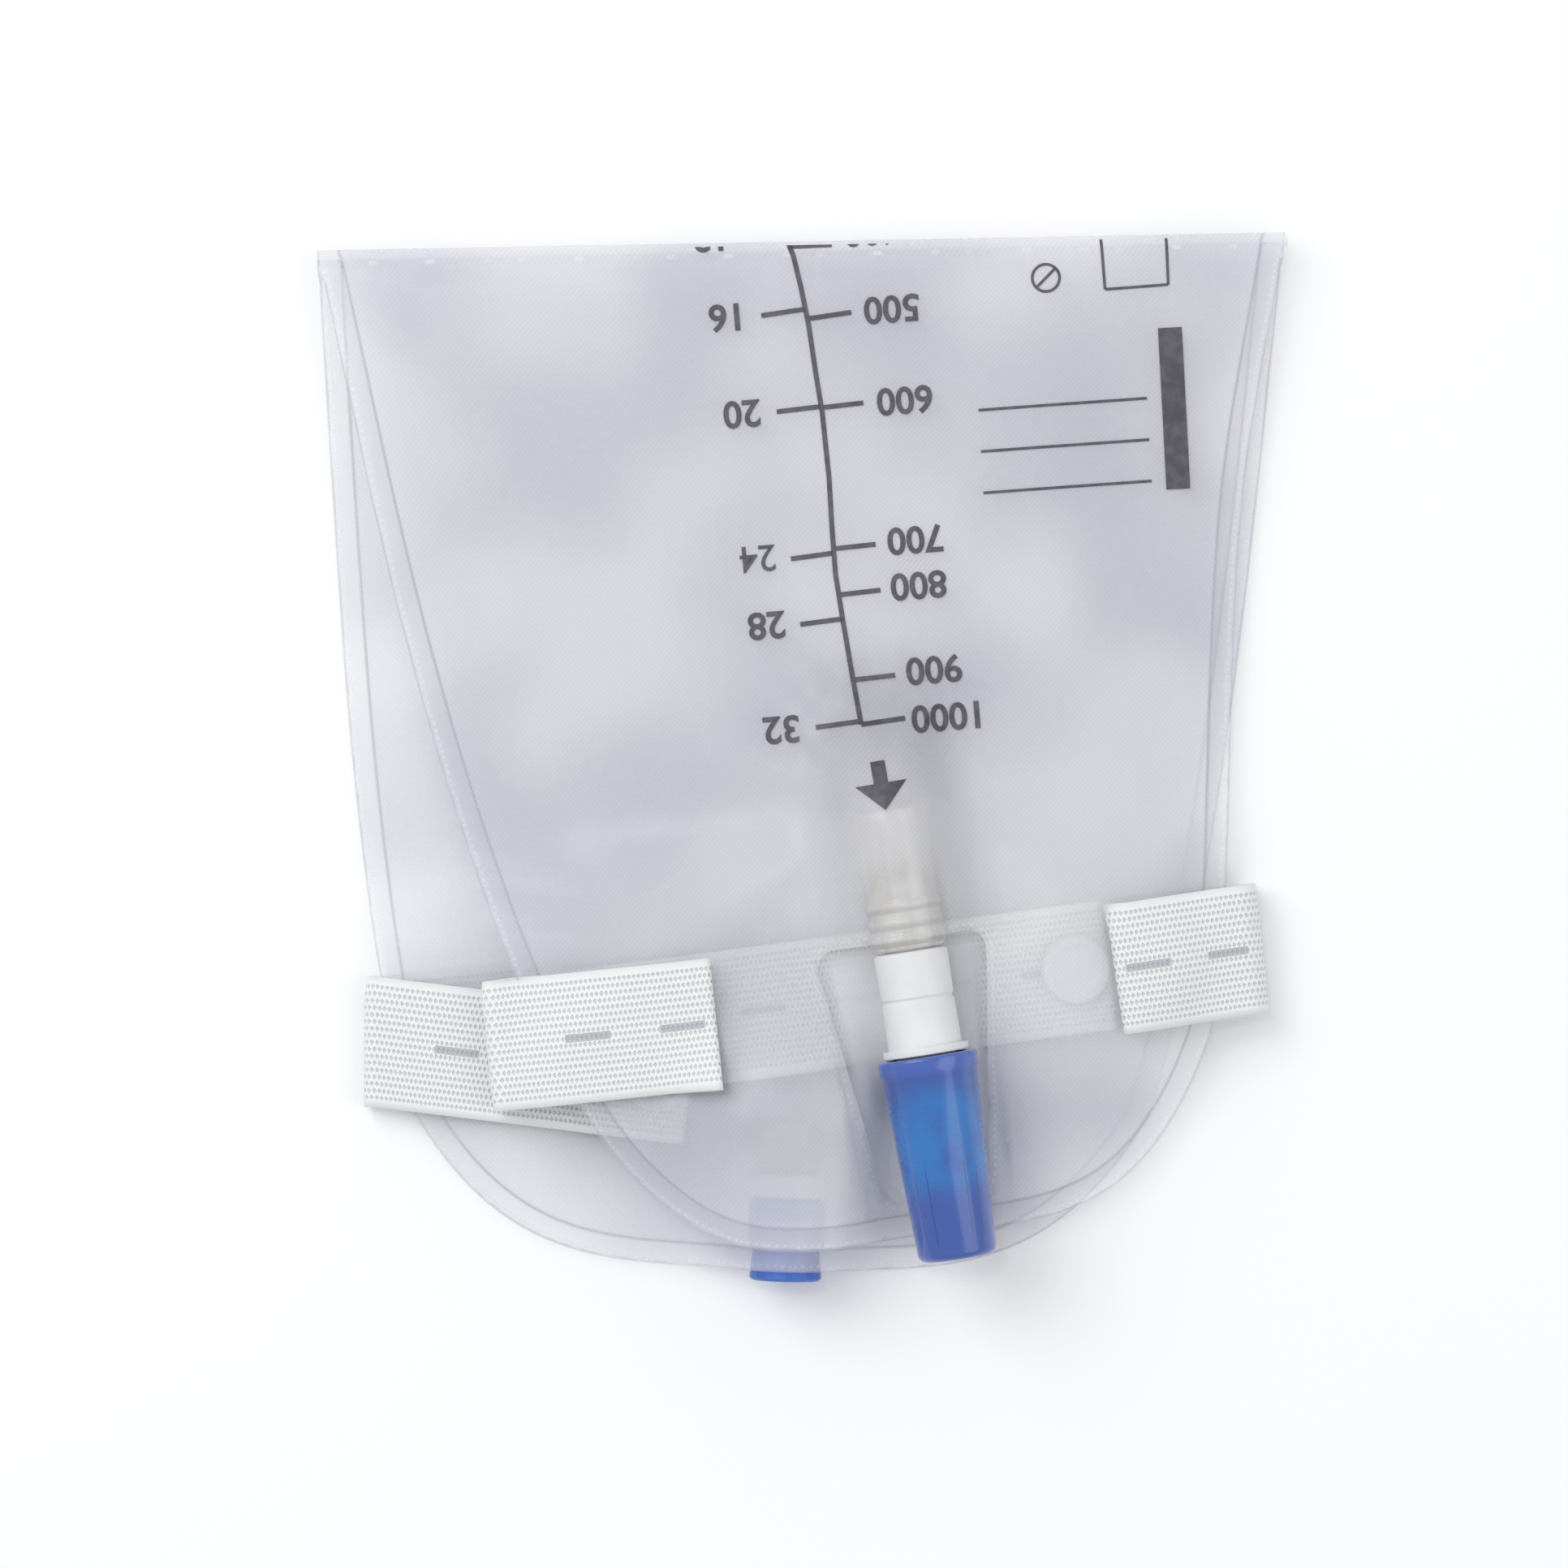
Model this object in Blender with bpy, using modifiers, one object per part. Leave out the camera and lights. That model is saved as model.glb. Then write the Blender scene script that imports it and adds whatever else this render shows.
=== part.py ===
# A urine drainage leg bag, folded once across its middle and lying on a table.
# The outlet half lies underneath, the inlet half on top of it, and the fold runs along +Y.
# Plan places are measured from the middle of the fold: x to the right, s down the bag (so y = -s).
# At the end the whole bag is moved so that the middle of its footprint is the origin.

import math

import bmesh
import bpy
from mathutils import Matrix, Vector

MM = 0.001
GAP = 0.3 * MM  # clearance between pieces that touch
EDGE = 0.4 * MM  # broken edges of the moulded pieces

# Film panels, one printed and one plain, welded along their rims
FILM = 0.3 * MM
FOLD_TURN = math.radians(1.07)
FOLD_RADIUS = 3.0 * MM  # printed film, outside of the fold
FOLD_INNER_RADIUS = 1.5 * MM  # plain film, inside of the fold
FOLD_SETTLE = 55 * MM  # the film has turned into its half's own direction this far down
PANEL_GAP = 1.0 * MM  # between the two films at a rim
PILLOW = 1.5 * MM  # how much the films stand apart in the middle of a half

OUTLET_LENGTH = 159 * MM
OUTLET_SHOULDER = 134 * MM  # where the straight side meets the rounded end
OUTLET_HALF_WIDTH = 75.0 * MM
OUTLET_TAPER = 11.0 * MM
OUTLET_ROUNDING = 6.2 * MM
OUTLET_TILT = math.radians(-1.6)

INLET_LENGTH = 155 * MM
INLET_SHOULDER = 129 * MM
INLET_HALF_WIDTH = 75.0 * MM
INLET_TAPER = 16.1 * MM
INLET_ROUNDING = 9.7 * MM
INLET_TILT = math.radians(6.5)
INLET_DRAW_IN = 6.0 * MM  # the right margin is drawn in along its middle

FILM_COLUMNS = 24
HALF_ROWS = 18
FOLD_ROWS = 6
ROW_BUNCH = 0.6  # rows stand closer together towards a half's end
COLUMN_BUNCH = 0.4  # and columns towards the middle
COLUMN_SHIFT = 0.06  # the fittings stand a little to the right of it

# Inlet port, connector and cap, all on one axis; z = 0 is the mouth of the cap
INLET_TURN = math.radians(2.4)  # against the centre line of the inlet half
CAP_END_ACROSS = 6.2 * MM
CAP_PROUD = 3.3 * MM  # how far the closed end of the cap passes the rim
INLET_AXIS_Z = 13.7 * MM
CAP_LENGTH = 31.4 * MM
CAP_MOUTH_RADIUS = 7.35 * MM
CAP_END_RADIUS = 6.1 * MM
CAP_COLLAR_RADIUS = 7.7 * MM
CAP_COLLAR = 2.2 * MM
CAP_WALL = 1.3 * MM
CAP_FILLET = 1.3 * MM
LUMEN_RADIUS = 2.3 * MM
RING_RADIUS = 6.6 * MM
RING_THICK = 1.1 * MM
CONNECTOR_RADIUS = 5.7 * MM
CONNECTOR_LENGTH = 16.0 * MM
BARB_LENGTH = 27.0 * MM
BARB_ROOT_RADIUS = 4.6 * MM
BARB_TIP_RADIUS = 3.4 * MM
BARB_STEP = 0.45 * MM
BARB_STEPS = 3
BARB_LEAD = 0.6 * MM
BARB_LAND = 1.0 * MM
BARB_BACK = 0.2 * MM
SPIGOT_RADIUS = 3.9 * MM
SPIGOT_LENGTH = 11.0 * MM
PORT_RADIUS = 5.6 * MM
PORT_LENGTH = 21.5 * MM
PORT_RIB = 0.35 * MM
PORT_RIBS = 3
PORT_RIB_PITCH = 2.6 * MM
PORT_BORE_RADIUS = 2.7 * MM
RIB_FOOT = 0.35  # half widths of a rib, as shares of the pitch
RIB_CREST = 0.12
RIB_START = 0.6

# Anti-reflux flaps, between the films above the inlet port
FLAP = 0.2 * MM
FLAP_LENGTH = 24 * MM
FLAP_HALF_WIDTH = 10 * MM
FLAP_TIP_HALF_WIDTH = 8 * MM
FLAP_RISE = 10 * MM  # length over which the flaps come down from the port
FLAP_ROUND = 1.5 * MM  # half width of their high middle
FLAP_SIDE_FALL = 7 * MM

# Twist valve, on one axis; z = 0 is the end of the spout
SPOUT_ACROSS = 2.0 * MM
SPOUT_PROUD = 1.4 * MM
VALVE_AXIS_Z = 6.4 * MM
SPOUT_RADIUS = 5.55 * MM
SPOUT_LENGTH = 5.0 * MM
SPOUT_BORE_RADIUS = 2.6 * MM
SLEEVE_RADIUS = 5.9 * MM
SLEEVE_LENGTH = 7.5 * MM
SLEEVE_FLUTES = 12
FLUTE_RADIUS = 0.8 * MM
FLUTE_OUT = 0.3 * MM  # a flute's centre stands off the sleeve
FLUTE_MARGIN = 1.2 * MM
NOZZLE_PLAY = 0.4 * MM
STEM_RADIUS = 4.0 * MM
STEM_SHORT = 1.0 * MM
SEAL_RADIUS = 0.55 * MM
SEAL_PROUD = 0.15 * MM
GROOVE_FROM_END = 1.4 * MM
GROOVE_SIDE_PLAY = 0.25 * MM
GROOVE_FLOOR_PLAY = 0.1 * MM
VALVE_COLLAR_RADIUS = 5.9 * MM
VALVE_COLLAR = 3.6 * MM
VALVE_SPIGOT_RADIUS = 3.2 * MM
VALVE_SPIGOT = 5.5 * MM
VALVE_LUMEN_RADIUS = 1.6 * MM
VALVE_LUMEN_END = 1.8 * MM  # from the groove
SIDE_PORT_RADIUS = 1.3 * MM
SIDE_PORT_PLACE = 3.2 * MM  # from the groove
OUTLET_PORT_RADIUS = 4.8 * MM
OUTLET_PORT_LENGTH = 7.5 * MM
OUTLET_PORT_BORE = 2.3 * MM

# Windows in the printed film, one round each fitting, with a strip of rim left past them
WINDOW_START_HALF = 13.5 * MM
WINDOW_END_HALF = 7.9 * MM
WINDOW_ACROSS = -1.4 * MM
WINDOW_STRIP = 5.5 * MM
WINDOW_CORNER = 4.0 * MM
WINDOW_OVER_PORT = 1.5 * MM
VALVE_WINDOW_HALF = 9.6 * MM
VALVE_STRIP = 9.0 * MM
VALVE_WINDOW_PAST = 3.0 * MM

# How the films drape over the fittings
TENT_FLAT = 2.0 * MM
TENT_FALL = 12.0 * MM
TENT_STEP = 1.0 * MM  # each layer on top lies this much higher
TENT_SPREAD = 0.3 * MM  # and this much wider
TENT_END = 12.0 * MM
TENT_TOP_STEPS = 1.8  # extra steps of the topmost film
TENT_TOP_LAYER = 6
TENT_COVER_LAYER = 1.6
STRIP_FALL = 8.0 * MM
PORT_TENT_FLAT = 3.0 * MM
PORT_TENT_FALL = 9.5 * MM
PORT_TENT_END = 16.0 * MM
PRESS_FALL = 10.0 * MM  # the weight of the inlet's fittings eases out beside them
PRESS_END = 14.0 * MM  # and past their ends

# Straps, woven elastic with buttonholes
STRAP = 1.0 * MM
STRAP_WIDTH = 20.0 * MM
SLIT_LENGTH = 6.6 * MM
SLIT_WIDTH = 0.8 * MM
SLIT_PITCH = 14.6 * MM
SLIT_FROM_END = 1.9 * MM
SLIT_CLEAR = 1.5 * MM  # least distance from a slit to a fold
LOOP_LEFT_PROUD = 1.9 * MM  # how far the lower strap's folds stand off the bag's sides
LOOP_RIGHT_PROUD = 7.6 * MM
SETTLE = 2.6 * MM  # a sheet clears what is under it this far round each of its points
BAND_MARGIN = 5.0 * MM  # the films lie flat this far past a strap's edges
BAND_FALL = 8.0 * MM
LOOP_ROWS = 5
LEAN_FADE = 15.0 * MM  # rows lean along a fold line this far from it
STRAP_ROW = 3.7 * MM

LOWER_STRAP_LEFT_S = 123.8 * MM
LOWER_STRAP_RIGHT_S = 109.6 * MM
LOWER_TAIL_X = -17.0 * MM  # hidden end, under the inlet half
LOWER_TAIL_S = 129.6 * MM
LOWER_CUT_X = 48.2 * MM  # visible end, on the inlet half
LOWER_CUT_S = 112.5 * MM
UPPER_FOLD_X = -46.3 * MM
UPPER_FOLD_S = 124.2 * MM
UPPER_CUT_X = -13.0 * MM  # visible end
UPPER_CUT_S = 120.6 * MM
UPPER_TAIL_X = 47.5 * MM  # hidden end
UPPER_TAIL_S = 111.8 * MM

# Buttons, one riveted through the hidden end of each strap
BUTTON_FROM_END = 5.2 * MM
BUTTON_RADIUS = 5.4 * MM
BUTTON_HEAD = 1.4 * MM
BUTTON_DISH = 0.4 * MM
DISH_SHARE = 0.6  # of the button's radius
LIP_SHARE = 0.8
BUTTON_FLAT = 2.0 * MM
STUD_RADIUS = 1.4 * MM
WASHER_RADIUS = 4.4 * MM
WASHER = 0.8 * MM
WASHER_EDGE = 0.2 * MM
BUTTON_FALL = 9.0 * MM

SEGMENTS = 20


class Half:
    # One half of the folded bag, with its outline
    def __init__(self, length, shoulder, width, taper, rounding, tilt, draw_in=0.0):
        self.length = length
        self.shoulder = shoulder
        self.width = width
        self.taper = taper
        self.rounding = rounding
        self.tilt = tilt
        self.draw_in = draw_in
        self.down = Vector((math.sin(tilt), -math.cos(tilt)))
        self.side = Vector((math.cos(tilt), math.sin(tilt)))

    def half_width(self, s):
        part = s / self.shoulder
        return self.width - self.taper * part - self.rounding * part**4

    def right_draw(self, s):
        return self.draw_in * math.sin(math.pi * clamp(s / self.shoulder))

    def local(self, point):
        # (s down the half, distance across it) of a plan point
        return point.dot(self.down), point.dot(self.side)

    def plan(self, s, across):
        turn = FOLD_TURN + (self.tilt - FOLD_TURN) * ease(s / FOLD_SETTLE)
        side = Vector((math.cos(turn), math.sin(turn)))
        return self.down * s + side * across

    def share(self, point):
        # Distance across as a share of the half width, for the pillow
        s, across = self.local(point)
        return clamp(abs(across) / self.half_width(clamp(s, 0, self.shoulder)))


def clamp(value, low=0.0, high=1.0):
    return min(max(value, low), high)


def ease(value):
    value = clamp(value)
    return value * value * (3 - 2 * value)


def plateau(distance, flat, fall):
    return 1 - ease((abs(distance) - flat) / fall)


def mix(a, b, share):
    return a + (b - a) * share


OUTLET = Half(
    OUTLET_LENGTH, OUTLET_SHOULDER, OUTLET_HALF_WIDTH, OUTLET_TAPER, OUTLET_ROUNDING, OUTLET_TILT
)
INLET = Half(
    INLET_LENGTH, INLET_SHOULDER, INLET_HALF_WIDTH, INLET_TAPER, INLET_ROUNDING, INLET_TILT,
    INLET_DRAW_IN,
)


class Axis:
    # A horizontal axis that leaves the bag; z = 0 is at its origin and +z points away from the bag
    def __init__(self, origin, tilt, height):
        self.origin = origin
        self.height = height
        self.out = Vector((math.sin(tilt), -math.cos(tilt)))
        self.side = Vector((math.cos(tilt), math.sin(tilt)))

    def local(self, point):
        offset = point - self.origin
        return offset.dot(self.out), offset.dot(self.side)

    def plan(self, along, across):
        return self.origin + self.out * along + self.side * across

    def matrix(self):
        turn = Matrix((self.side.to_3d(), (0, 0, 1), self.out.to_3d())).transposed().to_4x4()
        return Matrix.Translation((self.origin.x, self.origin.y, self.height)) @ turn


inlet_tilt = INLET_TILT + INLET_TURN
cap_end = INLET.down * (INLET_LENGTH + CAP_PROUD) + INLET.side * CAP_END_ACROSS
inlet_out = Vector((math.sin(inlet_tilt), -math.cos(inlet_tilt)))
INLET_AXIS = Axis(cap_end - inlet_out * CAP_LENGTH, inlet_tilt, INLET_AXIS_Z)
VALVE_AXIS = Axis(
    OUTLET.down * (OUTLET_LENGTH + SPOUT_PROUD) + OUTLET.side * SPOUT_ACROSS, OUTLET_TILT,
    VALVE_AXIS_Z,
)

# Places along the inlet axis
ring_back = -GAP - RING_THICK
connector_back = ring_back - CONNECTOR_LENGTH + RING_THICK
port_front = connector_back - GAP
port_back = port_front - PORT_LENGTH
window_start = port_front - WINDOW_OVER_PORT

# Places along the valve axis
sleeve_back = -SPOUT_LENGTH - SLEEVE_LENGTH
collar_front = sleeve_back - GAP
collar_back = collar_front - VALVE_COLLAR
valve_spigot_back = collar_back - VALVE_SPIGOT
outlet_port_front = collar_back - GAP
outlet_port_back = outlet_port_front - OUTLET_PORT_LENGTH
valve_top = VALVE_AXIS_Z + max(SLEEVE_RADIUS, VALVE_COLLAR_RADIUS) + GAP + FILM / 2

# Where the lower strap turns round the sides of the outlet half
lower_left = Vector(
    (OUTLET.plan(LOWER_STRAP_LEFT_S, -OUTLET.half_width(LOWER_STRAP_LEFT_S)).x - LOOP_LEFT_PROUD,
     -LOWER_STRAP_LEFT_S)
)
lower_right = Vector(
    (OUTLET.plan(LOWER_STRAP_RIGHT_S, OUTLET.half_width(LOWER_STRAP_RIGHT_S)).x + LOOP_RIGHT_PROUD,
     -LOWER_STRAP_RIGHT_S)
)
lower_tail = Vector((LOWER_TAIL_X, -LOWER_TAIL_S))
lower_cut = Vector((LOWER_CUT_X, -LOWER_CUT_S))
upper_fold = Vector((UPPER_FOLD_X, -UPPER_FOLD_S))
upper_cut = Vector((UPPER_CUT_X, -UPPER_CUT_S))
upper_tail = Vector((UPPER_TAIL_X, -UPPER_TAIL_S))
lower_button = lower_tail + (lower_left - lower_tail).normalized() * BUTTON_FROM_END
upper_button = upper_tail + (upper_fold - upper_tail).normalized() * BUTTON_FROM_END


def segment_distance(point, start, end):
    run = end - start
    share = clamp((point - start).dot(run) / run.length_squared)
    return (point - start - run * share).length


def band(point, start, end):
    # 1 under or over a strap's run, easing to 0 beside it
    return plateau(segment_distance(point, start, end), STRAP_WIDTH / 2 + BAND_MARGIN, BAND_FALL)


def button_bump(point, centre):
    return plateau((point - centre).length, BUTTON_RADIUS + BUTTON_FLAT, BUTTON_FALL)


def highest(height, point, reach=SETTLE):
    # The greatest height close round a point
    places = (Vector((0, 0)), Vector((1, 0)), Vector((-1, 0)), Vector((0, 1)), Vector((0, -1)))
    return max(height(point + place * reach) for place in places)


def valve_mask(point, layer):
    # 1 over the valve, easing to 0 beside it and past its inner end
    along, across = VALVE_AXIS.local(point)
    beside = plateau(across, TENT_FLAT + layer * TENT_SPREAD, TENT_FALL)
    return beside * (1 - ease((outlet_port_back - GAP - along) / TENT_END))


def valve_tent(base, point, layer):
    return mix(base, max(base, valve_top + layer * TENT_STEP), valve_mask(point, layer))


def pressed(point):
    # 1 where the inlet's fittings weigh on the bag
    along, across = INLET_AXIS.local(point)
    beside = plateau(across, CAP_COLLAR_RADIUS, PRESS_FALL)
    return beside * plateau(along - (CAP_LENGTH + connector_back) / 2, CAP_LENGTH, PRESS_END)


def pillow(half, point):
    full = (1 - half.share(point) ** 3) * ease(half.local(point)[0] / (half.shoulder / 2))
    return full * (1 - pressed(point)) if half is OUTLET else full


def outlet_printed_z(point):
    # The film that lies on the table, over the lower strap's run beneath the bag
    base = FILM / 2 + (STRAP + GAP) * band(point, lower_left, lower_right)
    along, across = VALVE_AXIS.local(point)
    strip = 1 - ease((-VALVE_STRIP - along) / STRIP_FALL)
    beside = plateau(across, TENT_FLAT, TENT_FALL)
    return mix(base, valve_top, strip * beside)


def outlet_plain_z(point):
    s = OUTLET.local(point)[0]
    at_fold = FILM / 2 + FOLD_RADIUS - FOLD_INNER_RADIUS
    low = FILM / 2 + (STRAP + GAP) * band(point, lower_left, lower_right)
    open_z = low + PANEL_GAP + PILLOW * pillow(OUTLET, point)
    base = mix(at_fold, open_z, ease((s - FOLD_RADIUS) / FOLD_SETTLE))
    return valve_tent(base, point, 1)


def seat_z(height, button):
    # Height of a strap's middle where a washer lies between it and what is below
    return highest(height, button, WASHER_RADIUS) + GAP + WASHER + GAP + STRAP / 2


def above_outlet(point):
    return outlet_plain_z(point) + FILM / 2


lower_seat = seat_z(above_outlet, lower_button)
button_top = STRAP / 2 + GAP + BUTTON_HEAD


def lower_tail_z(point):
    lying = highest(above_outlet, point) + GAP + STRAP / 2
    return mix(lying, lower_seat, button_bump(point, lower_button))


def above_lower_tail(point):
    # Top of what lies on the outlet half: its film, the lower strap's end and its button
    strap_top = lower_tail_z(point) + STRAP / 2
    top = mix(above_outlet(point), strap_top, band(point, lower_left, lower_tail))
    return mix(top, lower_seat + button_top, button_bump(point, lower_button))


def covered(point):
    return valve_tent(above_lower_tail(point), point, TENT_COVER_LAYER)


upper_seat = seat_z(covered, upper_button)


def upper_tail_z(point):
    lying = highest(covered, point) + GAP + STRAP / 2
    return mix(lying, upper_seat, button_bump(point, upper_button))


def above_upper_tail(point):
    # Top of what lies under the inlet half
    strap_top = upper_tail_z(point) + STRAP / 2
    top = mix(covered(point), strap_top, band(point, upper_fold, upper_tail))
    return mix(top, upper_seat + button_top, button_bump(point, upper_button))


def under_fittings(point):
    # Greatest height of a film that passes under the connector and the cap
    along, across = INLET_AXIS.local(point)
    radius = CAP_COLLAR_RADIUS + FILM + 4 * GAP
    if along < port_front or abs(across) >= radius:
        return 2 * INLET_AXIS_Z
    return INLET_AXIS_Z - math.sqrt(radius**2 - across**2)


def inlet_plain_z(point):
    s = INLET.local(point)[0]
    at_fold = FILM / 2 + FOLD_RADIUS + FOLD_INNER_RADIUS
    top = highest(above_upper_tail, point) + 2 * GAP + FILM / 2
    base = mix(at_fold, top, ease((s - FOLD_RADIUS) / FOLD_SETTLE))
    along, across = INLET_AXIS.local(point)
    under_port = INLET_AXIS_Z - PORT_RADIUS - PORT_RIB - GAP - FILM / 2
    hug = plateau(across, PORT_TENT_FLAT, PORT_TENT_FALL)
    hug *= plateau(along - (port_front + port_back) / 2, PORT_LENGTH / 2, TENT_END)
    return min(mix(base, max(base, under_port), hug), under_fittings(point))


def inlet_printed_z(point):
    s = INLET.local(point)[0]
    at_fold = FILM / 2 + 2 * FOLD_RADIUS
    open_z = inlet_plain_z(point) + PANEL_GAP + PILLOW * pillow(INLET, point)
    open_z += TENT_TOP_STEPS * TENT_STEP * valve_mask(point, TENT_TOP_LAYER)
    base = mix(at_fold, open_z, ease((s - FOLD_RADIUS) / FOLD_SETTLE))
    along, across = INLET_AXIS.local(point)
    top = INLET_AXIS_Z + PORT_RADIUS + PORT_RIB + 2 * GAP + FILM / 2
    tent = plateau(across, PORT_TENT_FLAT, PORT_TENT_FALL)
    tent *= plateau(along - (port_front + port_back) / 2, PORT_LENGTH / 2 + TENT_FLAT, PORT_TENT_END)
    return mix(base, max(base, top), tent)


def strap_on_top_z(point):
    return highest(inlet_printed_z, point) + FILM / 2 + GAP + STRAP / 2


def table_z(point):
    return STRAP / 2


# Scene and materials

for old in list(bpy.data.objects):
    bpy.data.objects.remove(old)

parts = bpy.data.collections.new("urine_drainage_bag")
bpy.context.scene.collection.children.link(parts)
cutters = bpy.data.collections.new("cutters")
bpy.context.scene.collection.children.link(cutters)


def material(name, colour, roughness, alpha=1.0):
    made = bpy.data.materials.new(name)
    made.use_nodes = True
    shader = made.node_tree.nodes["Principled BSDF"]
    shader.inputs["Base Color"].default_value = (*colour, 1)
    shader.inputs["Roughness"].default_value = roughness
    shader.inputs["Metallic"].default_value = 0
    shader.inputs["Alpha"].default_value = alpha
    return made


def put(obj, finish, collection=parts):
    collection.objects.link(obj)
    if finish:
        obj.data.materials.append(finish)
    return obj


def put_cutter(obj):
    cutters.objects.link(obj)
    obj.hide_render = True
    obj.display_type = "WIRE"
    return obj


# Films

def flat_point(half, rank, share, radius):
    # Point of the flat panel: rank 0 at the fold to 1 at the end, share -1 to 1 across
    side_s = mix(FOLD_RADIUS, half.shoulder, (1 + ROW_BUNCH) * rank - ROW_BUNCH * rank * rank)
    s = side_s + (half.length - half.shoulder) * rank**3 * (1 - share**4)
    width = half.half_width(side_s)
    if share > 0:
        width -= half.right_draw(side_s)
    return Vector((share * width, s - FOLD_RADIUS + math.pi * radius / 2))


def column_share(k):
    # Columns stand closer together near the fittings, a little to the right of the middle
    return k * (1 - COLUMN_BUNCH + COLUMN_BUNCH * k * k) + COLUMN_SHIFT * (1 - k * k)


def folded(flat, radius, outlet_z, inlet_z):
    # Place of a point of the flat panel once the panel is folded
    turn_length = math.pi * radius
    if abs(flat.y) <= turn_length / 2:
        angle = (flat.y / turn_length + 0.5) * math.pi
        half = OUTLET if flat.y < 0 else INLET
        place = half.plan(FOLD_RADIUS - radius * math.sin(angle), flat.x)
        return Vector((place.x, place.y, FILM / 2 + FOLD_RADIUS - radius * math.cos(angle)))
    half, height = (OUTLET, outlet_z) if flat.y < 0 else (INLET, inlet_z)
    place = half.plan(FOLD_RADIUS + abs(flat.y) - turn_length / 2, flat.x)
    return Vector((place.x, place.y, height(place)))


def cut_window(bm, outline):
    # Cuts a convex outline out of the flat panel, one side after another
    low = Vector((min(p.x for p in outline), min(p.y for p in outline)))
    high = Vector((max(p.x for p in outline), max(p.y for p in outline)))

    def near(face):
        xs = [v.co.x for v in face.verts]
        ys = [v.co.y for v in face.verts]
        return min(xs) < high.x and max(xs) > low.x and min(ys) < high.y and max(ys) > low.y

    inside = [face for face in bm.faces if near(face)]
    sides = list(zip(outline, outline[1:] + outline[:1]))
    for start, end in sides:
        run = end - start
        normal = Vector((run.y, -run.x, 0))
        geometry = set(inside)
        for face in inside:
            geometry.update(face.edges)
            geometry.update(face.verts)
        origin = Vector((start.x, start.y, 0))
        cut = bmesh.ops.bisect_plane(bm, geom=list(geometry), dist=1e-7, plane_co=origin, plane_no=normal)
        faces = [item for item in cut["geom"] if isinstance(item, bmesh.types.BMFace)]
        inside = [f for f in faces if (f.calc_center_median() - origin).dot(normal) < 0]
    bmesh.ops.delete(bm, geom=inside, context="FACES")


def rounded(corners, radius, steps=4):
    # Convex outline with round corners, counter-clockwise
    points = []
    for index, corner in enumerate(corners):
        before = (corners[index - 1] - corner).normalized()
        after = (corners[(index + 1) % len(corners)] - corner).normalized()
        start, end = corner + before * radius, corner + after * radius
        for step in range(steps + 1):
            share = step / steps
            points.append((1 - share) ** 2 * start + 2 * share * (1 - share) * corner + share**2 * end)
    return points


def film_panel(name, radius, outlet_z, inlet_z, windows, finish):
    bm = bmesh.new()
    rows = 2 * HALF_ROWS + FOLD_ROWS
    bmesh.ops.create_grid(bm, x_segments=FILM_COLUMNS, y_segments=rows, size=1)
    for vert in bm.verts:
        share = column_share(vert.co.x)
        row = round((vert.co.y + 1) / 2 * rows)
        if row <= HALF_ROWS:
            flat = flat_point(OUTLET, 1 - row / HALF_ROWS, share, radius)
            flat.y = -flat.y
        elif row >= HALF_ROWS + FOLD_ROWS:
            flat = flat_point(INLET, (row - HALF_ROWS - FOLD_ROWS) / HALF_ROWS, share, radius)
        else:
            turned_share = (row - HALF_ROWS) / FOLD_ROWS - 0.5
            flat = Vector((share * OUTLET_HALF_WIDTH, turned_share * math.pi * radius))
        vert.co = (flat.x, flat.y, 0)
    for outline in windows:
        cut_window(bm, outline)
    bmesh.ops.triangulate(bm, faces=bm.faces)
    for vert in bm.verts:
        vert.co = folded(vert.co, radius, outlet_z, inlet_z)
    bmesh.ops.recalc_face_normals(bm, faces=bm.faces)
    mesh = bpy.data.meshes.new(name)
    bm.to_mesh(mesh)
    bm.free()
    mesh.shade_smooth()
    panel = put(bpy.data.objects.new(name, mesh), finish)
    shell = panel.modifiers.new("Film", "SOLIDIFY")
    shell.thickness = FILM
    shell.offset = 0
    return panel


def flat_outline(half, axis, corners, radius, sign):
    # Window corners given along and across an axis, as points of the flat panel
    points = []
    for along, across in corners:
        s, side = half.local(axis.plan(along, across))
        points.append(Vector((side, sign * (s - FOLD_RADIUS + math.pi * radius / 2))))
    outline = rounded(points, WINDOW_CORNER)
    area = sum(a.x * b.y - a.y * b.x for a, b in zip(outline, outline[1:] + outline[:1]))
    return outline if area > 0 else outline[::-1]


def inlet_window():
    start = WINDOW_START_HALF
    end = WINDOW_END_HALF
    stop = CAP_LENGTH - CAP_PROUD - WINDOW_STRIP
    corners = [
        (window_start, WINDOW_ACROSS - start), (window_start, WINDOW_ACROSS + start),
        (stop, WINDOW_ACROSS + end), (stop, WINDOW_ACROSS - end),
    ]
    return flat_outline(INLET, INLET_AXIS, corners, FOLD_RADIUS, 1)


def valve_window():
    wide = VALVE_WINDOW_HALF
    start = outlet_port_front - VALVE_WINDOW_PAST
    stop = -VALVE_STRIP
    corners = [(start, -wide), (start, wide), (stop, wide), (stop, -wide)]
    return flat_outline(OUTLET, VALVE_AXIS, corners, FOLD_RADIUS, -1)


# Straps

def fold_lean(ahead, side, other):
    # How far a row leans along its run, for each unit across, to lie on the fold line
    apart = ahead - other
    line = Vector((-apart.y, apart.x))
    return line.dot(ahead) / line.dot(side)


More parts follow.
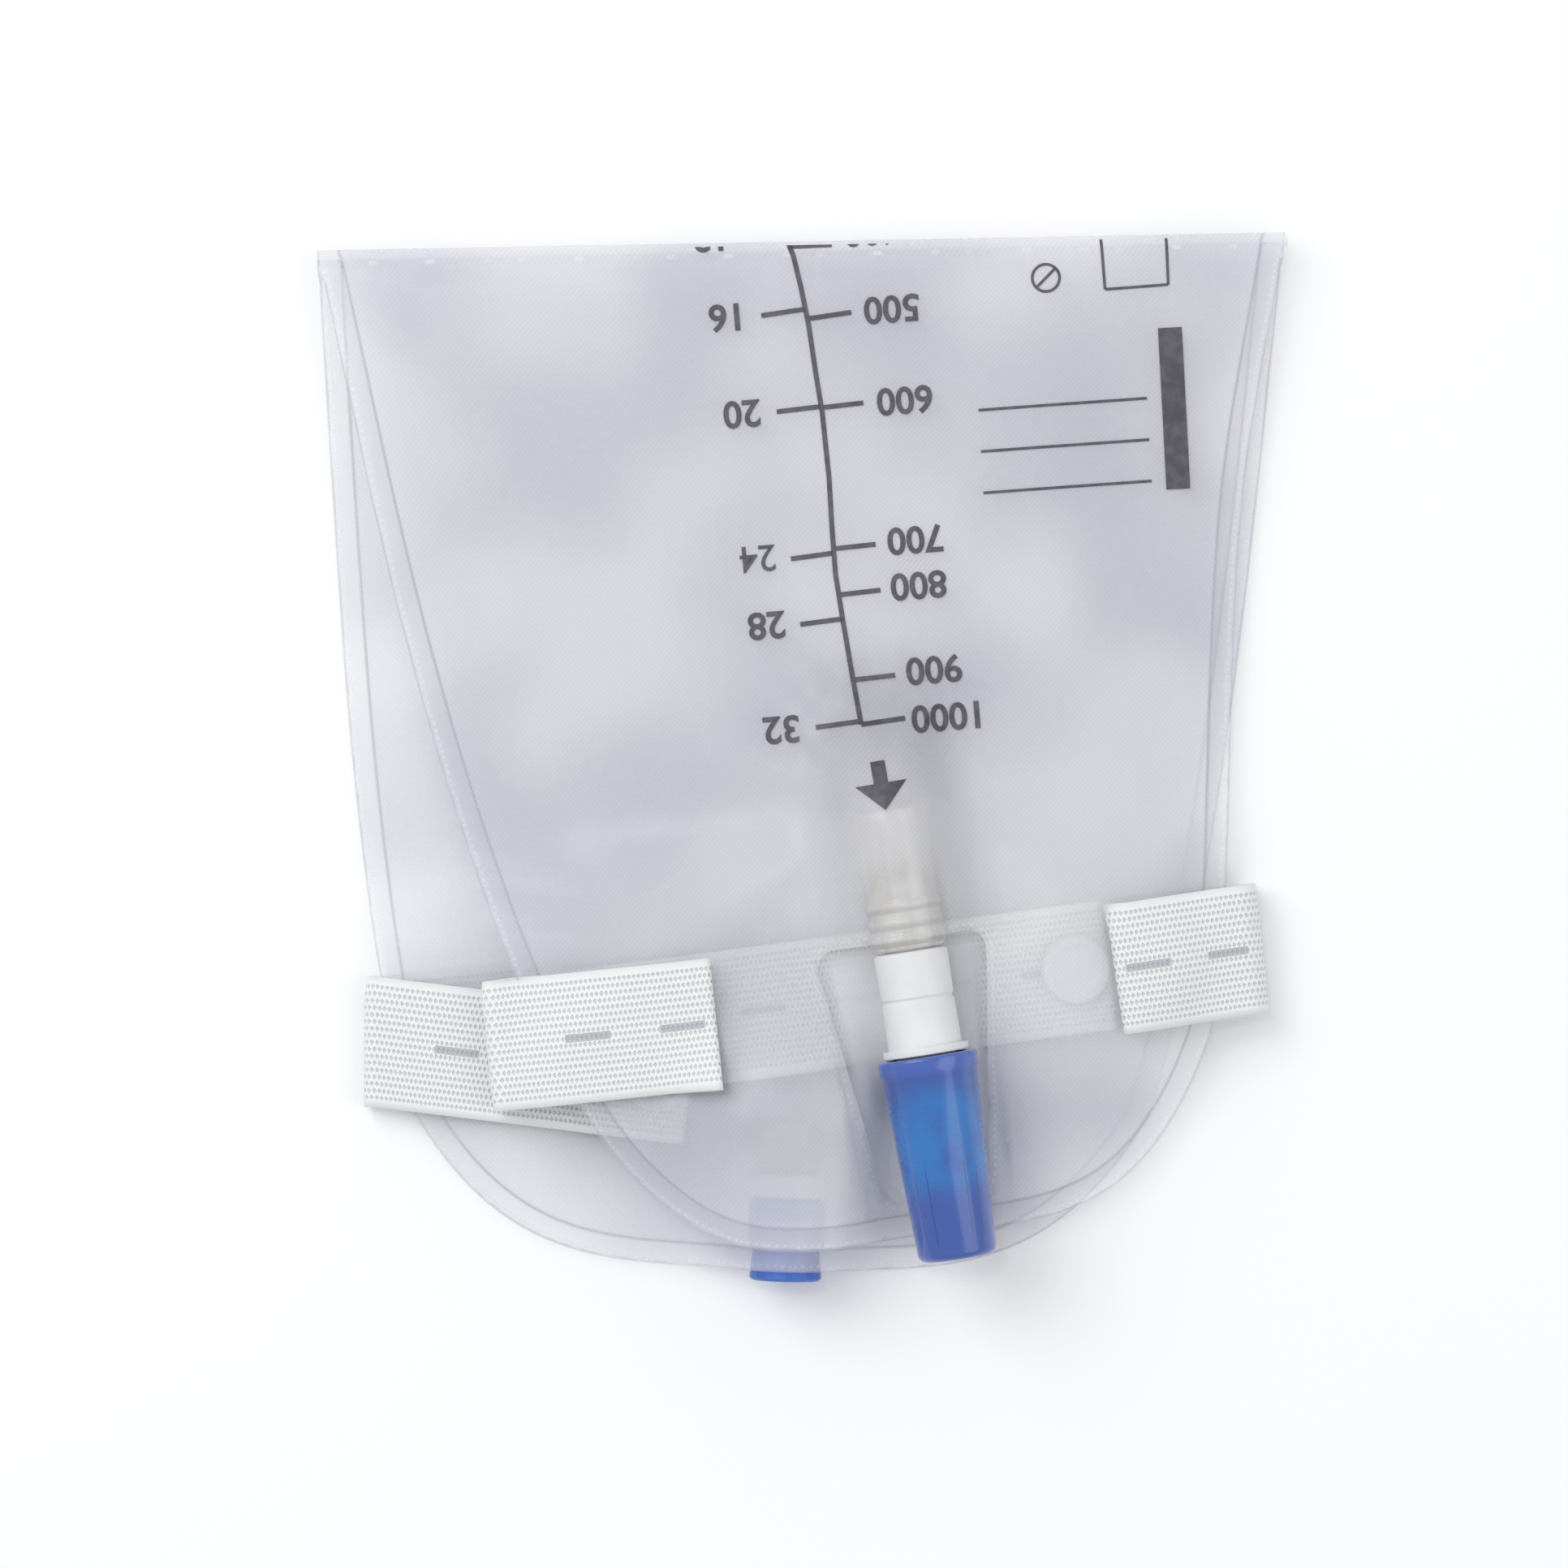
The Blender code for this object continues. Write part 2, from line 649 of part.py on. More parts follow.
def strap_rows(runs, columns):
    # Points of a strap that follows straight runs in plan and turns over between them.
    # Each run is (start, end, height); the slits keep one pitch along the whole strap.
    rows, slits = [], []
    travelled = 0.0
    ways = [(end - start).normalized() for start, end, height in runs]
    for index, (start, end, height) in enumerate(runs):
        length = (end - start).length
        ahead = ways[index]
        side = Vector((-ahead.y, ahead.x)) * (1 if index % 2 == 0 else -1)
        start_lean = fold_lean(ahead, side, ways[index - 1]) if index else 0
        end_lean = fold_lean(ahead, side, ways[index + 1]) if index + 1 < len(ways) else 0
        stops = {0.0, length}
        for number in range(int((travelled + length) / SLIT_PITCH) + 2):
            first = SLIT_FROM_END + number * SLIT_PITCH - travelled
            if first > SLIT_CLEAR and first + SLIT_LENGTH < length - SLIT_CLEAR:
                stops.update((first, first + SLIT_LENGTH))
                slits.append((index, first))
        marks = sorted(stops)
        stations = []
        for near, far in zip(marks, marks[1:]):
            parts_between = max(1, math.ceil((far - near) / STRAP_ROW))
            if any(index == i and abs(near - f) < 1e-7 for i, f in slits):
                parts_between = 1
            for part in range(parts_between):
                stations.append(near + (far - near) * part / parts_between)
        stations.append(length)
        if index:
            before = rows[-1]["points"]
            first_row = [start + side * across + ahead * across * start_lean for across in columns]
            away = (ways[index - 1] - ahead).normalized()
            for step in range(1, LOOP_ROWS):
                angle = math.pi * step / LOOP_ROWS
                share = (1 - math.cos(angle)) / 2
                points = []
                for old, new in zip(before, first_row):
                    top = Vector((new.x, new.y, height(new)))
                    reach = abs(top.z - old.z) / 2 * math.sin(angle)
                    points.append(old.lerp(top, share) + away.to_3d() * reach)
                rows.append({"points": points, "slit": False})
            travelled += abs(height(start) - before[0].z) * math.pi / 2
        for station in stations:
            lean = start_lean * (1 - ease(station / LEAN_FADE))
            lean += end_lean * (1 - ease((length - station) / LEAN_FADE))
            points = []
            for across in columns:
                place = start + ahead * (station + across * lean) + side * across
                points.append(Vector((place.x, place.y, height(place))))
            opens = any(index == i and abs(station - f) < 1e-7 for i, f in slits)
            rows.append({"points": points, "slit": opens})
        travelled += length
    return rows


def strap(name, runs, across, button, finish):
    rows = strap_rows(runs, across)
    bm = bmesh.new()
    bmesh.ops.create_grid(bm, x_segments=len(across) - 1, y_segments=len(rows) - 1, size=1)
    bm.verts.ensure_lookup_table()
    middle = (len(across) - 2) // 2
    slit_faces = []
    for face in bm.faces:
        centre = face.calc_center_median()
        column = int((centre.x + 1) / 2 * (len(across) - 1))
        row = int((centre.y + 1) / 2 * (len(rows) - 1))
        if column == middle and rows[row]["slit"]:
            slit_faces.append(face)
    for vert in bm.verts:
        column = round((vert.co.x + 1) / 2 * (len(across) - 1))
        row = round((vert.co.y + 1) / 2 * (len(rows) - 1))
        vert.co = rows[row]["points"][column]
    bmesh.ops.delete(bm, geom=slit_faces, context="FACES")
    bmesh.ops.triangulate(bm, faces=bm.faces)
    mesh = bpy.data.meshes.new(name)
    bm.to_mesh(mesh)
    bm.free()
    mesh.shade_smooth()
    made = put(bpy.data.objects.new(name, mesh), finish)
    shell = made.modifiers.new("Webbing", "SOLIDIFY")
    shell.thickness = STRAP
    shell.offset = 0
    height = runs[-1][2](button)
    hole = round_cutter(name + "_hole", STUD_RADIUS + GAP, 4 * STRAP, Vector((*button, height)))
    cut = made.modifiers.new("Stud hole", "BOOLEAN")
    cut.operation = "DIFFERENCE"
    cut.object = hole
    return made


def round_cutter(name, radius, length, place, turn=None):
    bm = bmesh.new()
    bmesh.ops.create_cone(
        bm, cap_ends=True, segments=12, radius1=radius, radius2=radius, depth=length
    )
    mesh = bpy.data.meshes.new(name)
    bm.to_mesh(mesh)
    bm.free()
    cutter = put_cutter(bpy.data.objects.new(name, mesh))
    cutter.matrix_world = Matrix.Translation(place) @ (turn or Matrix.Identity(4))
    return cutter


# Turned pieces

def turned(name, profile, finish, ring=False, segments=SEGMENTS):
    # A profile of (radius, z) turned about z; it runs down the outside
    mesh = bpy.data.meshes.new(name)
    points = [(radius, 0, z) for radius, z in profile]
    edges = [(i, i + 1) for i in range(len(points) - 1)]
    if ring:
        edges.append((len(points) - 1, 0))
    mesh.from_pydata(points, edges, [])
    made = put(bpy.data.objects.new(name, mesh), finish)
    screw = made.modifiers.new("Turn", "SCREW")
    screw.steps = segments
    screw.render_steps = segments
    screw.use_merge_vertices = True
    screw.merge_threshold = 0.00001
    screw.use_smooth_shade = True
    return made


def arc(centre_r, centre_z, radius, start, end, steps=4):
    points = []
    for step in range(steps + 1):
        angle = math.radians(mix(start, end, step / steps))
        points.append((centre_r + radius * math.cos(angle), centre_z + radius * math.sin(angle)))
    return points


def inlet_cap(finish):
    inside_end = CAP_END_RADIUS - CAP_WALL
    inside_mouth = CAP_MOUTH_RADIUS - CAP_WALL
    profile = [(0, CAP_LENGTH)]
    profile += arc(CAP_END_RADIUS - CAP_FILLET, CAP_LENGTH - CAP_FILLET, CAP_FILLET, 90, 0)
    profile += [
        (CAP_MOUTH_RADIUS, CAP_COLLAR + EDGE),
        (CAP_COLLAR_RADIUS, CAP_COLLAR),
        (CAP_COLLAR_RADIUS, EDGE),
        (CAP_COLLAR_RADIUS - EDGE, 0),
        (inside_mouth + EDGE, 0),
        (inside_mouth, 2 * EDGE),
        (inside_end, CAP_LENGTH - CAP_WALL),
        (0, CAP_LENGTH - CAP_WALL),
    ]
    return turned("inlet_cap", profile, finish)


def inlet_connector(finish):
    profile = [(BARB_TIP_RADIUS - EDGE, BARB_LENGTH)]
    for step in range(BARB_STEPS):
        near = step / BARB_STEPS
        far = (step + 1) / BARB_STEPS
        wide = mix(BARB_TIP_RADIUS, BARB_ROOT_RADIUS, far)
        narrow = mix(BARB_TIP_RADIUS, BARB_ROOT_RADIUS, near)
        land = BARB_LENGTH * (1 - far) + BARB_LAND
        profile += [(narrow, BARB_LENGTH * (1 - near) - BARB_LEAD), (wide, land)]
        if step < BARB_STEPS - 1:
            profile.append((wide - BARB_STEP, land - BARB_BACK))
    profile += [
        (BARB_ROOT_RADIUS, -GAP),
        (RING_RADIUS, -GAP),
        (RING_RADIUS, ring_back),
        (CONNECTOR_RADIUS, ring_back),
        (CONNECTOR_RADIUS, connector_back + EDGE),
        (CONNECTOR_RADIUS - EDGE, connector_back),
        (SPIGOT_RADIUS, connector_back),
        (SPIGOT_RADIUS, connector_back - SPIGOT_LENGTH + EDGE),
        (SPIGOT_RADIUS - EDGE, connector_back - SPIGOT_LENGTH),
        (LUMEN_RADIUS, connector_back - SPIGOT_LENGTH),
        (LUMEN_RADIUS, BARB_LENGTH),
    ]
    return turned("inlet_connector", profile, finish, ring=True)


def ribbed_side(radius, top, ribs, pitch, height):
    # Round ribs down the outside of a tube, starting just below its top
    points = []
    for rib in range(ribs):
        crest = top - pitch * (rib + RIB_START)
        points += [
            (radius, crest + pitch * RIB_FOOT), (radius + height, crest + pitch * RIB_CREST),
            (radius + height, crest - pitch * RIB_CREST), (radius, crest - pitch * RIB_FOOT),
        ]
    return points


def tube_port(name, outer, bore, socket, socket_depth, front, length, ribs, finish):
    back = front - length
    profile = [(outer - EDGE, front), (outer, front - EDGE)]
    profile += ribbed_side(outer, front, ribs, PORT_RIB_PITCH, PORT_RIB)
    profile += [
        (outer, back), (bore, back), (bore, front - socket_depth), (socket, front - socket_depth),
        (socket, front),
    ]
    return turned(name, profile, finish, ring=True)


def valve_nozzle(finish):
    bore = STEM_RADIUS + NOZZLE_PLAY
    profile = [
        (SPOUT_BORE_RADIUS, 0), (SPOUT_RADIUS - EDGE, 0), (SPOUT_RADIUS, -EDGE),
        (SPOUT_RADIUS - EDGE, -SPOUT_LENGTH + EDGE), (SLEEVE_RADIUS, -SPOUT_LENGTH - EDGE),
        (SLEEVE_RADIUS, sleeve_back + EDGE), (SLEEVE_RADIUS - EDGE, sleeve_back),
        (bore, sleeve_back), (bore, -SPOUT_LENGTH), (SPOUT_BORE_RADIUS, -SPOUT_LENGTH),
    ]
    nozzle = turned("valve_nozzle", profile, finish, ring=True)
    bm = bmesh.new()
    flute_length = SLEEVE_LENGTH - 2 * FLUTE_MARGIN
    for number in range(SLEEVE_FLUTES):
        angle = 2 * math.pi * (number + 0.5) / SLEEVE_FLUTES
        reach = SLEEVE_RADIUS + FLUTE_OUT
        place = Vector((reach * math.cos(angle), reach * math.sin(angle), sleeve_back + SLEEVE_LENGTH / 2))
        bmesh.ops.create_cone(
            bm, cap_ends=True, segments=8, radius1=FLUTE_RADIUS, radius2=FLUTE_RADIUS,
            depth=flute_length, matrix=Matrix.Translation(place),
        )
    mesh = bpy.data.meshes.new("flutes")
    bm.to_mesh(mesh)
    bm.free()
    flutes = put_cutter(bpy.data.objects.new("flutes", mesh))
    cut = nozzle.modifiers.new("Flutes", "BOOLEAN")
    cut.operation = "DIFFERENCE"
    cut.object = flutes
    return nozzle, flutes


def valve_body(finish):
    stem_front = -SPOUT_LENGTH - STEM_SHORT
    groove = stem_front - GROOVE_FROM_END
    groove_half = SEAL_RADIUS + GROOVE_SIDE_PLAY
    groove_radius = STEM_RADIUS - 2 * SEAL_RADIUS - GROOVE_FLOOR_PLAY
    lumen_end = groove - VALVE_LUMEN_END
    profile = [
        (0, stem_front), (STEM_RADIUS - EDGE, stem_front), (STEM_RADIUS, stem_front - EDGE),
        (STEM_RADIUS, groove + groove_half), (groove_radius, groove + groove_half),
        (groove_radius, groove - groove_half), (STEM_RADIUS, groove - groove_half),
        (STEM_RADIUS, collar_front), (VALVE_COLLAR_RADIUS - EDGE, collar_front),
        (VALVE_COLLAR_RADIUS, collar_front - EDGE), (VALVE_COLLAR_RADIUS, collar_back + EDGE),
        (VALVE_COLLAR_RADIUS - EDGE, collar_back), (VALVE_SPIGOT_RADIUS, collar_back),
        (VALVE_SPIGOT_RADIUS, valve_spigot_back + EDGE),
        (VALVE_SPIGOT_RADIUS - EDGE, valve_spigot_back), (VALVE_LUMEN_RADIUS, valve_spigot_back),
        (VALVE_LUMEN_RADIUS, lumen_end), (0, lumen_end),
    ]
    body = turned("valve_body", profile, finish)
    side_place = VALVE_AXIS.matrix() @ Vector((0, 0, groove - SIDE_PORT_PLACE))
    turn = VALVE_AXIS.matrix().to_3x3().to_4x4() @ Matrix.Rotation(math.pi / 2, 4, "X")
    hole = round_cutter(
        "side_port", SIDE_PORT_RADIUS, 2 * STEM_RADIUS, side_place
        + (turn @ Vector((0, 0, STEM_RADIUS))), turn,
    )
    cut = body.modifiers.new("Side port", "BOOLEAN")
    cut.operation = "DIFFERENCE"
    cut.object = hole
    return body, groove


def valve_seal(groove, finish):
    major = STEM_RADIUS - SEAL_RADIUS + SEAL_PROUD
    section = arc(major, groove, SEAL_RADIUS, 90, -225, steps=7)
    return turned("valve_seal", section, finish, ring=True)


def strap_button(name, place, finish, washer_finish):
    # A button with a stud through the strap, and the washer that the stud is pressed into
    rim = BUTTON_RADIUS - EDGE
    under = STRAP / 2 + GAP
    profile = [
        (0, under + BUTTON_HEAD - BUTTON_DISH), (rim * DISH_SHARE, under + BUTTON_HEAD - BUTTON_DISH),
        (rim * LIP_SHARE, under + BUTTON_HEAD), (rim, under + BUTTON_HEAD),
        (BUTTON_RADIUS, under + BUTTON_HEAD / 2), (rim, under), (STUD_RADIUS, under),
        (STUD_RADIUS, -under - WASHER), (0, -under - WASHER),
    ]
    button = turned(name, profile, finish)
    button.location = place
    inner = STUD_RADIUS + GAP
    profile = [
        (inner, -under), (WASHER_RADIUS - WASHER_EDGE, -under), (WASHER_RADIUS, -under - WASHER / 2),
        (WASHER_RADIUS - WASHER_EDGE, -under - WASHER), (inner, -under - WASHER),
    ]
    washer = turned(name + "_washer", profile, washer_finish, ring=True)
    washer.location = place
    return button, washer


def flap(name, layer, finish):
    # A soft flap that comes down from the inlet port and lies between the films
    back = port_back - 2 * GAP
    bm = bmesh.new()
    bmesh.ops.create_grid(bm, x_segments=6, y_segments=6, size=1)
    for vert in bm.verts:
        rank = (vert.co.y + 1) / 2
        along = back - FLAP_LENGTH * rank
        across = vert.co.x * mix(FLAP_HALF_WIDTH, FLAP_TIP_HALF_WIDTH, rank)
        place = INLET_AXIS.plan(along, across)
        low = highest(inlet_plain_z, place) + FILM / 2 + 2 * GAP + FLAP / 2
        low += layer * (FLAP + 2 * GAP)
        high = INLET_AXIS_Z + (layer - 0.5) * (FLAP + 3 * GAP)
        rise = plateau(across, FLAP_ROUND, FLAP_SIDE_FALL) * (1 - ease((back - along) / FLAP_RISE))
        vert.co = (place.x, place.y, mix(low, max(low, high), rise))
    bmesh.ops.triangulate(bm, faces=bm.faces)
    mesh = bpy.data.meshes.new(name)
    bm.to_mesh(mesh)
    bm.free()
    mesh.shade_smooth()
    made = put(bpy.data.objects.new(name, mesh), finish)
    shell = made.modifiers.new("Flap", "SOLIDIFY")
    shell.thickness = FLAP
    shell.offset = 0
    return made


def centre_on_table(root):
    # Moves the bag so that the middle of its footprint is the origin and it stands on z = 0
    bpy.context.view_layer.update()
    graph = bpy.context.evaluated_depsgraph_get()
    low, high = Vector((1e9,) * 3), Vector((-1e9,) * 3)
    for obj in parts.objects:
        if obj.type != "MESH":
            continue
        shape = obj.evaluated_get(graph)
        for vert in shape.data.vertices:
            place = shape.matrix_world @ vert.co
            low = Vector(map(min, low, place))
            high = Vector(map(max, high, place))
    root.location = (-(low.x + high.x) / 2, -(low.y + high.y) / 2, -low.z)


def build():
    printed = material("printed_vinyl", (0.80, 0.80, 0.86), 0.35, 0.5)
    plain = material("plain_vinyl", (0.84, 0.84, 0.88), 0.35, 0.5)
    flap_vinyl = material("flap_vinyl", (0.86, 0.86, 0.88), 0.4, 0.6)
    clear = material("clear_tube", (0.80, 0.78, 0.68), 0.2, 0.6)
    white = material("white_plastic", (0.86, 0.86, 0.84), 0.4)
    blue = material("blue_plastic", (0.05, 0.17, 0.62), 0.35)
    rubber = material("seal_rubber", (0.55, 0.55, 0.55), 0.6)
    webbing = material("webbing", (0.80, 0.84, 0.81), 0.85)

    film_panel("printed_film", FOLD_RADIUS, outlet_printed_z, inlet_printed_z,
               [inlet_window(), valve_window()], printed)
    film_panel("plain_film", FOLD_INNER_RADIUS, outlet_plain_z, inlet_plain_z, [], plain)
    flap("anti_reflux_flap_back", 0, flap_vinyl)
    flap("anti_reflux_flap_front", 1, flap_vinyl)

    half = STRAP_WIDTH / 2
    slit = SLIT_WIDTH / 2
    strap(
        "lower_strap",
        [(lower_cut, lower_right, strap_on_top_z), (lower_right, lower_left, table_z),
         (lower_left, lower_tail, lower_tail_z)],
        [-half, -half / 2, -slit, slit, half / 2, half], lower_button, webbing,
    )
    strap(
        "upper_strap",
        [(upper_cut, upper_fold, strap_on_top_z), (upper_fold, upper_tail, upper_tail_z)],
        [-half, -half / 2, -slit, slit, half / 2, half], upper_button, webbing,
    )
    strap_button("lower_strap_button", (*lower_button, lower_tail_z(lower_button)), white, white)
    strap_button("upper_strap_button", (*upper_button, upper_tail_z(upper_button)), white, white)

    bag = bpy.data.objects.new("bag", None)
    parts.objects.link(bag)
    inlet_pivot = bpy.data.objects.new("inlet_axis", None)
    valve_pivot = bpy.data.objects.new("valve_axis", None)
    for pivot, axis in ((inlet_pivot, INLET_AXIS), (valve_pivot, VALVE_AXIS)):
        parts.objects.link(pivot)
        pivot.matrix_world = axis.matrix()

    cap = inlet_cap(blue)
    connector = inlet_connector(white)
    port = tube_port("inlet_port", PORT_RADIUS, PORT_BORE_RADIUS, SPIGOT_RADIUS + GAP,
                     SPIGOT_LENGTH + GAP, port_front, PORT_LENGTH, PORT_RIBS, clear)
    for piece in (cap, connector, port):
        piece.parent = inlet_pivot

    nozzle, flutes = valve_nozzle(blue)
    body, groove = valve_body(white)
    seal = valve_seal(groove, rubber)
    outlet = tube_port("outlet_port", OUTLET_PORT_RADIUS, OUTLET_PORT_BORE,
                       VALVE_SPIGOT_RADIUS + GAP, VALVE_SPIGOT + GAP, outlet_port_front,
                       OUTLET_PORT_LENGTH, 2, clear)
    for piece in (nozzle, flutes, body, seal, outlet):
        piece.parent = valve_pivot

    for obj in list(parts.objects) + list(cutters.objects):
        if obj.parent is None and obj is not bag:
            obj.parent = bag
    centre_on_table(bag)


build()
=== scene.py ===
import math

import bmesh
import bpy
from mathutils import Matrix, Vector
from mathutils.bvhtree import BVHTree
from mathutils.kdtree import KDTree


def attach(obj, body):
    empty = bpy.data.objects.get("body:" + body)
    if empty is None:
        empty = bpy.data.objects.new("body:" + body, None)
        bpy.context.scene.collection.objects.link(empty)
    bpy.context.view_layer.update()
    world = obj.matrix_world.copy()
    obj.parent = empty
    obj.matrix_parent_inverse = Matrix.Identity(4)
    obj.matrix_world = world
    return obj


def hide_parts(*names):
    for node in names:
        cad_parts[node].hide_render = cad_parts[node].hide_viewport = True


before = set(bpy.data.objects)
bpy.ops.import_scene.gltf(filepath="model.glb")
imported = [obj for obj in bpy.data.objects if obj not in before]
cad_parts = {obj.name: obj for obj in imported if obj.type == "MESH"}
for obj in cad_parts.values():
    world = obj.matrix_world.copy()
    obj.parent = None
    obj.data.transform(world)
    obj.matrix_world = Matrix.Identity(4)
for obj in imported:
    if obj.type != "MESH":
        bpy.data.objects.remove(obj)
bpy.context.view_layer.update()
mm = 0.001
perUv = 100  # millimetres in one unit of a UV layer


# Small helpers for shaders

class Wire:
    # A node's output that can be used in Python expressions
    def __init__(self, tree, socket):
        self.tree = tree
        self.socket = socket

    def maths(self, operation, *others, swap=False):
        node = self.tree.nodes.new("ShaderNodeMath")
        node.operation = operation
        values = [self, *others]
        if swap:
            values.reverse()
        for slot, value in zip(node.inputs, values):
            if isinstance(value, Wire):
                self.tree.links.new(value.socket, slot)
            else:
                slot.default_value = value
        return Wire(self.tree, node.outputs[0])

    def __add__(self, other):
        return self.maths("ADD", other)

    def __radd__(self, other):
        return self.maths("ADD", other, swap=True)

    def __sub__(self, other):
        return self.maths("SUBTRACT", other)

    def __rsub__(self, other):
        return self.maths("SUBTRACT", other, swap=True)

    def __mul__(self, other):
        return self.maths("MULTIPLY", other)

    def __truediv__(self, other):
        return self.maths("DIVIDE", other)

    def most(self, other):
        return self.maths("MAXIMUM", other)

    def size(self):
        return self.maths("ABSOLUTE")

    def wave(self):
        # 0 at whole numbers, 1 half way between them
        return self.maths("PINGPONG", 0.5) * 2


class Finish:
    # A material under construction
    def __init__(self, name, **fixed):
        self.material = bpy.data.materials.new(name)
        self.material.use_nodes = True
        self.tree = self.material.node_tree
        self.shader = self.tree.nodes["Principled BSDF"]
        for slot, value in fixed.items():
            self.shader.inputs[slot.replace("_", " ")].default_value = value

    def add(self, kind, settings=None, values=None, output=0):
        # Any node: its type, its settings, then values or links for its sockets
        node = self.tree.nodes.new("ShaderNode" + kind)
        for key, value in (settings or {}).items():
            setattr(node, key, value)
        for slot, value in (values or {}).items():
            if isinstance(value, Wire):
                self.tree.links.new(value.socket, node.inputs[slot])
            else:
                node.inputs[slot].default_value = value
        return Wire(self.tree, node.outputs[output])

    def feed(self, slot, wire):
        self.tree.links.new(wire.socket, self.shader.inputs[slot])

    def place(self):
        # Object coordinates in millimetres
        spot = self.add("TexCoord", output="Object")
        return self.add("VectorMath", {"operation": "SCALE"}, {"Vector": spot, "Scale": 1 / mm})

    def parts(self, vector):
        split = self.add("SeparateXYZ", None, {"Vector": vector}).socket.node
        return [Wire(self.tree, socket) for socket in split.outputs]

    def layer(self, name):
        # The two numbers that a piece keeps in a UV layer, in millimetres
        across, along, _ = self.parts(self.add("UVMap", {"uv_map": name}))
        return across * perUv, along * perUv

    def ramp(self, wire, low, high):
        # 0 below low, 1 above high, smooth between them
        return self.add("MapRange", {"interpolation_type": "SMOOTHSTEP"}, {0: wire, 1: low, 2: high})

    def line(self, distance, half, soft):
        # 1 on a line, 0 beside it
        return 1 - self.ramp(distance.size(), half, half + soft)

    def noise(self, vector, scale, detail):
        # Cloudy grain from 0 to 1; the scale is in features a millimetre
        return self.add("TexNoise", None, {"Vector": vector, "Scale": scale, "Detail": detail})

    def blend(self, share, low, high):
        return self.add("Mix", {"data_type": "RGBA"}, {0: share, 6: low, 7: high}, output=2)

    def clouded(self, cloud, first, second):
        # Two shades in soft patches
        return self.blend(self.ramp(cloud, 0.3, 0.7), first, second)

    def relief(self, height, strength, depth):
        self.feed("Normal", self.add("Bump", None, {
            "Height": height, "Strength": strength, "Distance": depth * mm,
        }))


def shade(red, green, blue):
    return (red, green, blue, 1)


# Small helpers for objects and meshes

def towards(angle):
    return Vector((math.cos(angle), math.sin(angle)))


def linked(name, data):
    thing = bpy.data.objects.new(name, data)
    bpy.context.scene.collection.objects.link(thing)
    return thing


def treeOf(mesh):
    return BVHTree.FromPolygons([v.co for v in mesh.vertices], [tuple(p.vertices) for p in mesh.polygons])


def pieceFrom(bm, name, finish, smooth=True):
    # The built mesh as an object in the scene, with its one material
    mesh = bpy.data.meshes.new(name)
    bm.to_mesh(mesh)
    bm.free()
    if smooth:
        mesh.shade_smooth()
    mesh.materials.append(finish)
    return linked(name, mesh)


# Camera, floor and light

view = {
    "place": (-2.75, -4.4, 1300), "sensor": 36, "reach": 10,
    "frame": 241.5, "level": 8,  # the width it sees, and at what height
}


def makeView():
    lens = bpy.data.cameras.new("camera")
    lens.sensor_width = view["sensor"]
    lens.lens = view["sensor"] * (view["place"][2] - view["level"]) / view["frame"]
    lens.clip_end = view["reach"]
    camera = linked("camera", lens)
    camera.location = Vector(view["place"]) * mm
    bpy.context.scene.camera = camera


studio = {
    "floor": 3000, "floorDrop": 0.05, "paper": shade(0.9, 0.9, 0.905), "paperRoughness": 0.9,
    "sky": shade(0.97, 0.98, 1.0), "world": 0.66,
    "lamps": [  # name, place, size, power
        ("windowLamp", (-800, 600, 1000), 900, 9),
        ("fillLamp", (1000, -300, 1000), 1000, 4),
        ("glossLamp", (-150, 210, 1280), 170, 1.3),
    ],
}


def makeStudio():
    bpy.context.scene.view_settings.view_transform = "Standard"
    world = bpy.data.worlds.new("studio")
    world.use_nodes = True
    back = world.node_tree.nodes["Background"]
    back.inputs["Color"].default_value = studio["sky"]
    back.inputs["Strength"].default_value = studio["world"]
    bpy.context.scene.world = world
    for name, spot, size, power in studio["lamps"]:
        lamp = bpy.data.lights.new(name, "AREA")
        lamp.size = size * mm
        lamp.energy = power
        holder = linked(name, lamp)
        holder.location = Vector(spot) * mm
        holder.rotation_euler = (-Vector(spot)).to_track_quat("-Z", "Y").to_euler()
    half = studio["floor"] * mm / 2
    mesh = bpy.data.meshes.new("floor")
    low = -studio["floorDrop"] * mm
    corners = [(-half, -half, low), (half, -half, low), (half, half, low), (-half, half, low)]
    mesh.from_pydata(corners, [], [(0, 1, 2, 3)])
    floor = linked("floor", mesh)
    paper = Finish("floorPaper", Base_Color=studio["paper"], Roughness=studio["paperRoughness"])
    mesh.materials.append(paper.material)


makeView()
makeStudio()
print("camera, floor and light made")


# Reading the frame

cast = {"height": 100, "reaches": (0.25, 0.8, 2.0), "turns": 8}
trees = {
    name: treeOf(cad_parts[name].data)
    for name in ("printed_film", "plain_film", "lower_strap", "upper_strap")
}
ring = [Vector((0, 0))]
for reach in cast["reaches"]:
    for step in range(cast["turns"]):
        ring.append(towards(2 * math.pi * step / cast["turns"]) * reach * mm)


def surfaceZ(node, spot, fromAbove, limit=None):
    # Height of the first surface of a CAD node under or over a plan point, or just beside it.
    # A surface that isn't outside the limit doesn't count.
    way = -1 if fromAbove else 1
    start = -way * cast["height"] * mm
    for step in ring:
        hit = trees[node].ray_cast(Vector((spot.x + step.x, spot.y + step.y, start)), Vector((0, 0, way)))
        if hit[0] is not None and (limit is None or (limit - hit[0].z) * way > 0):
            return hit[0].z
    return None


# The bag's films

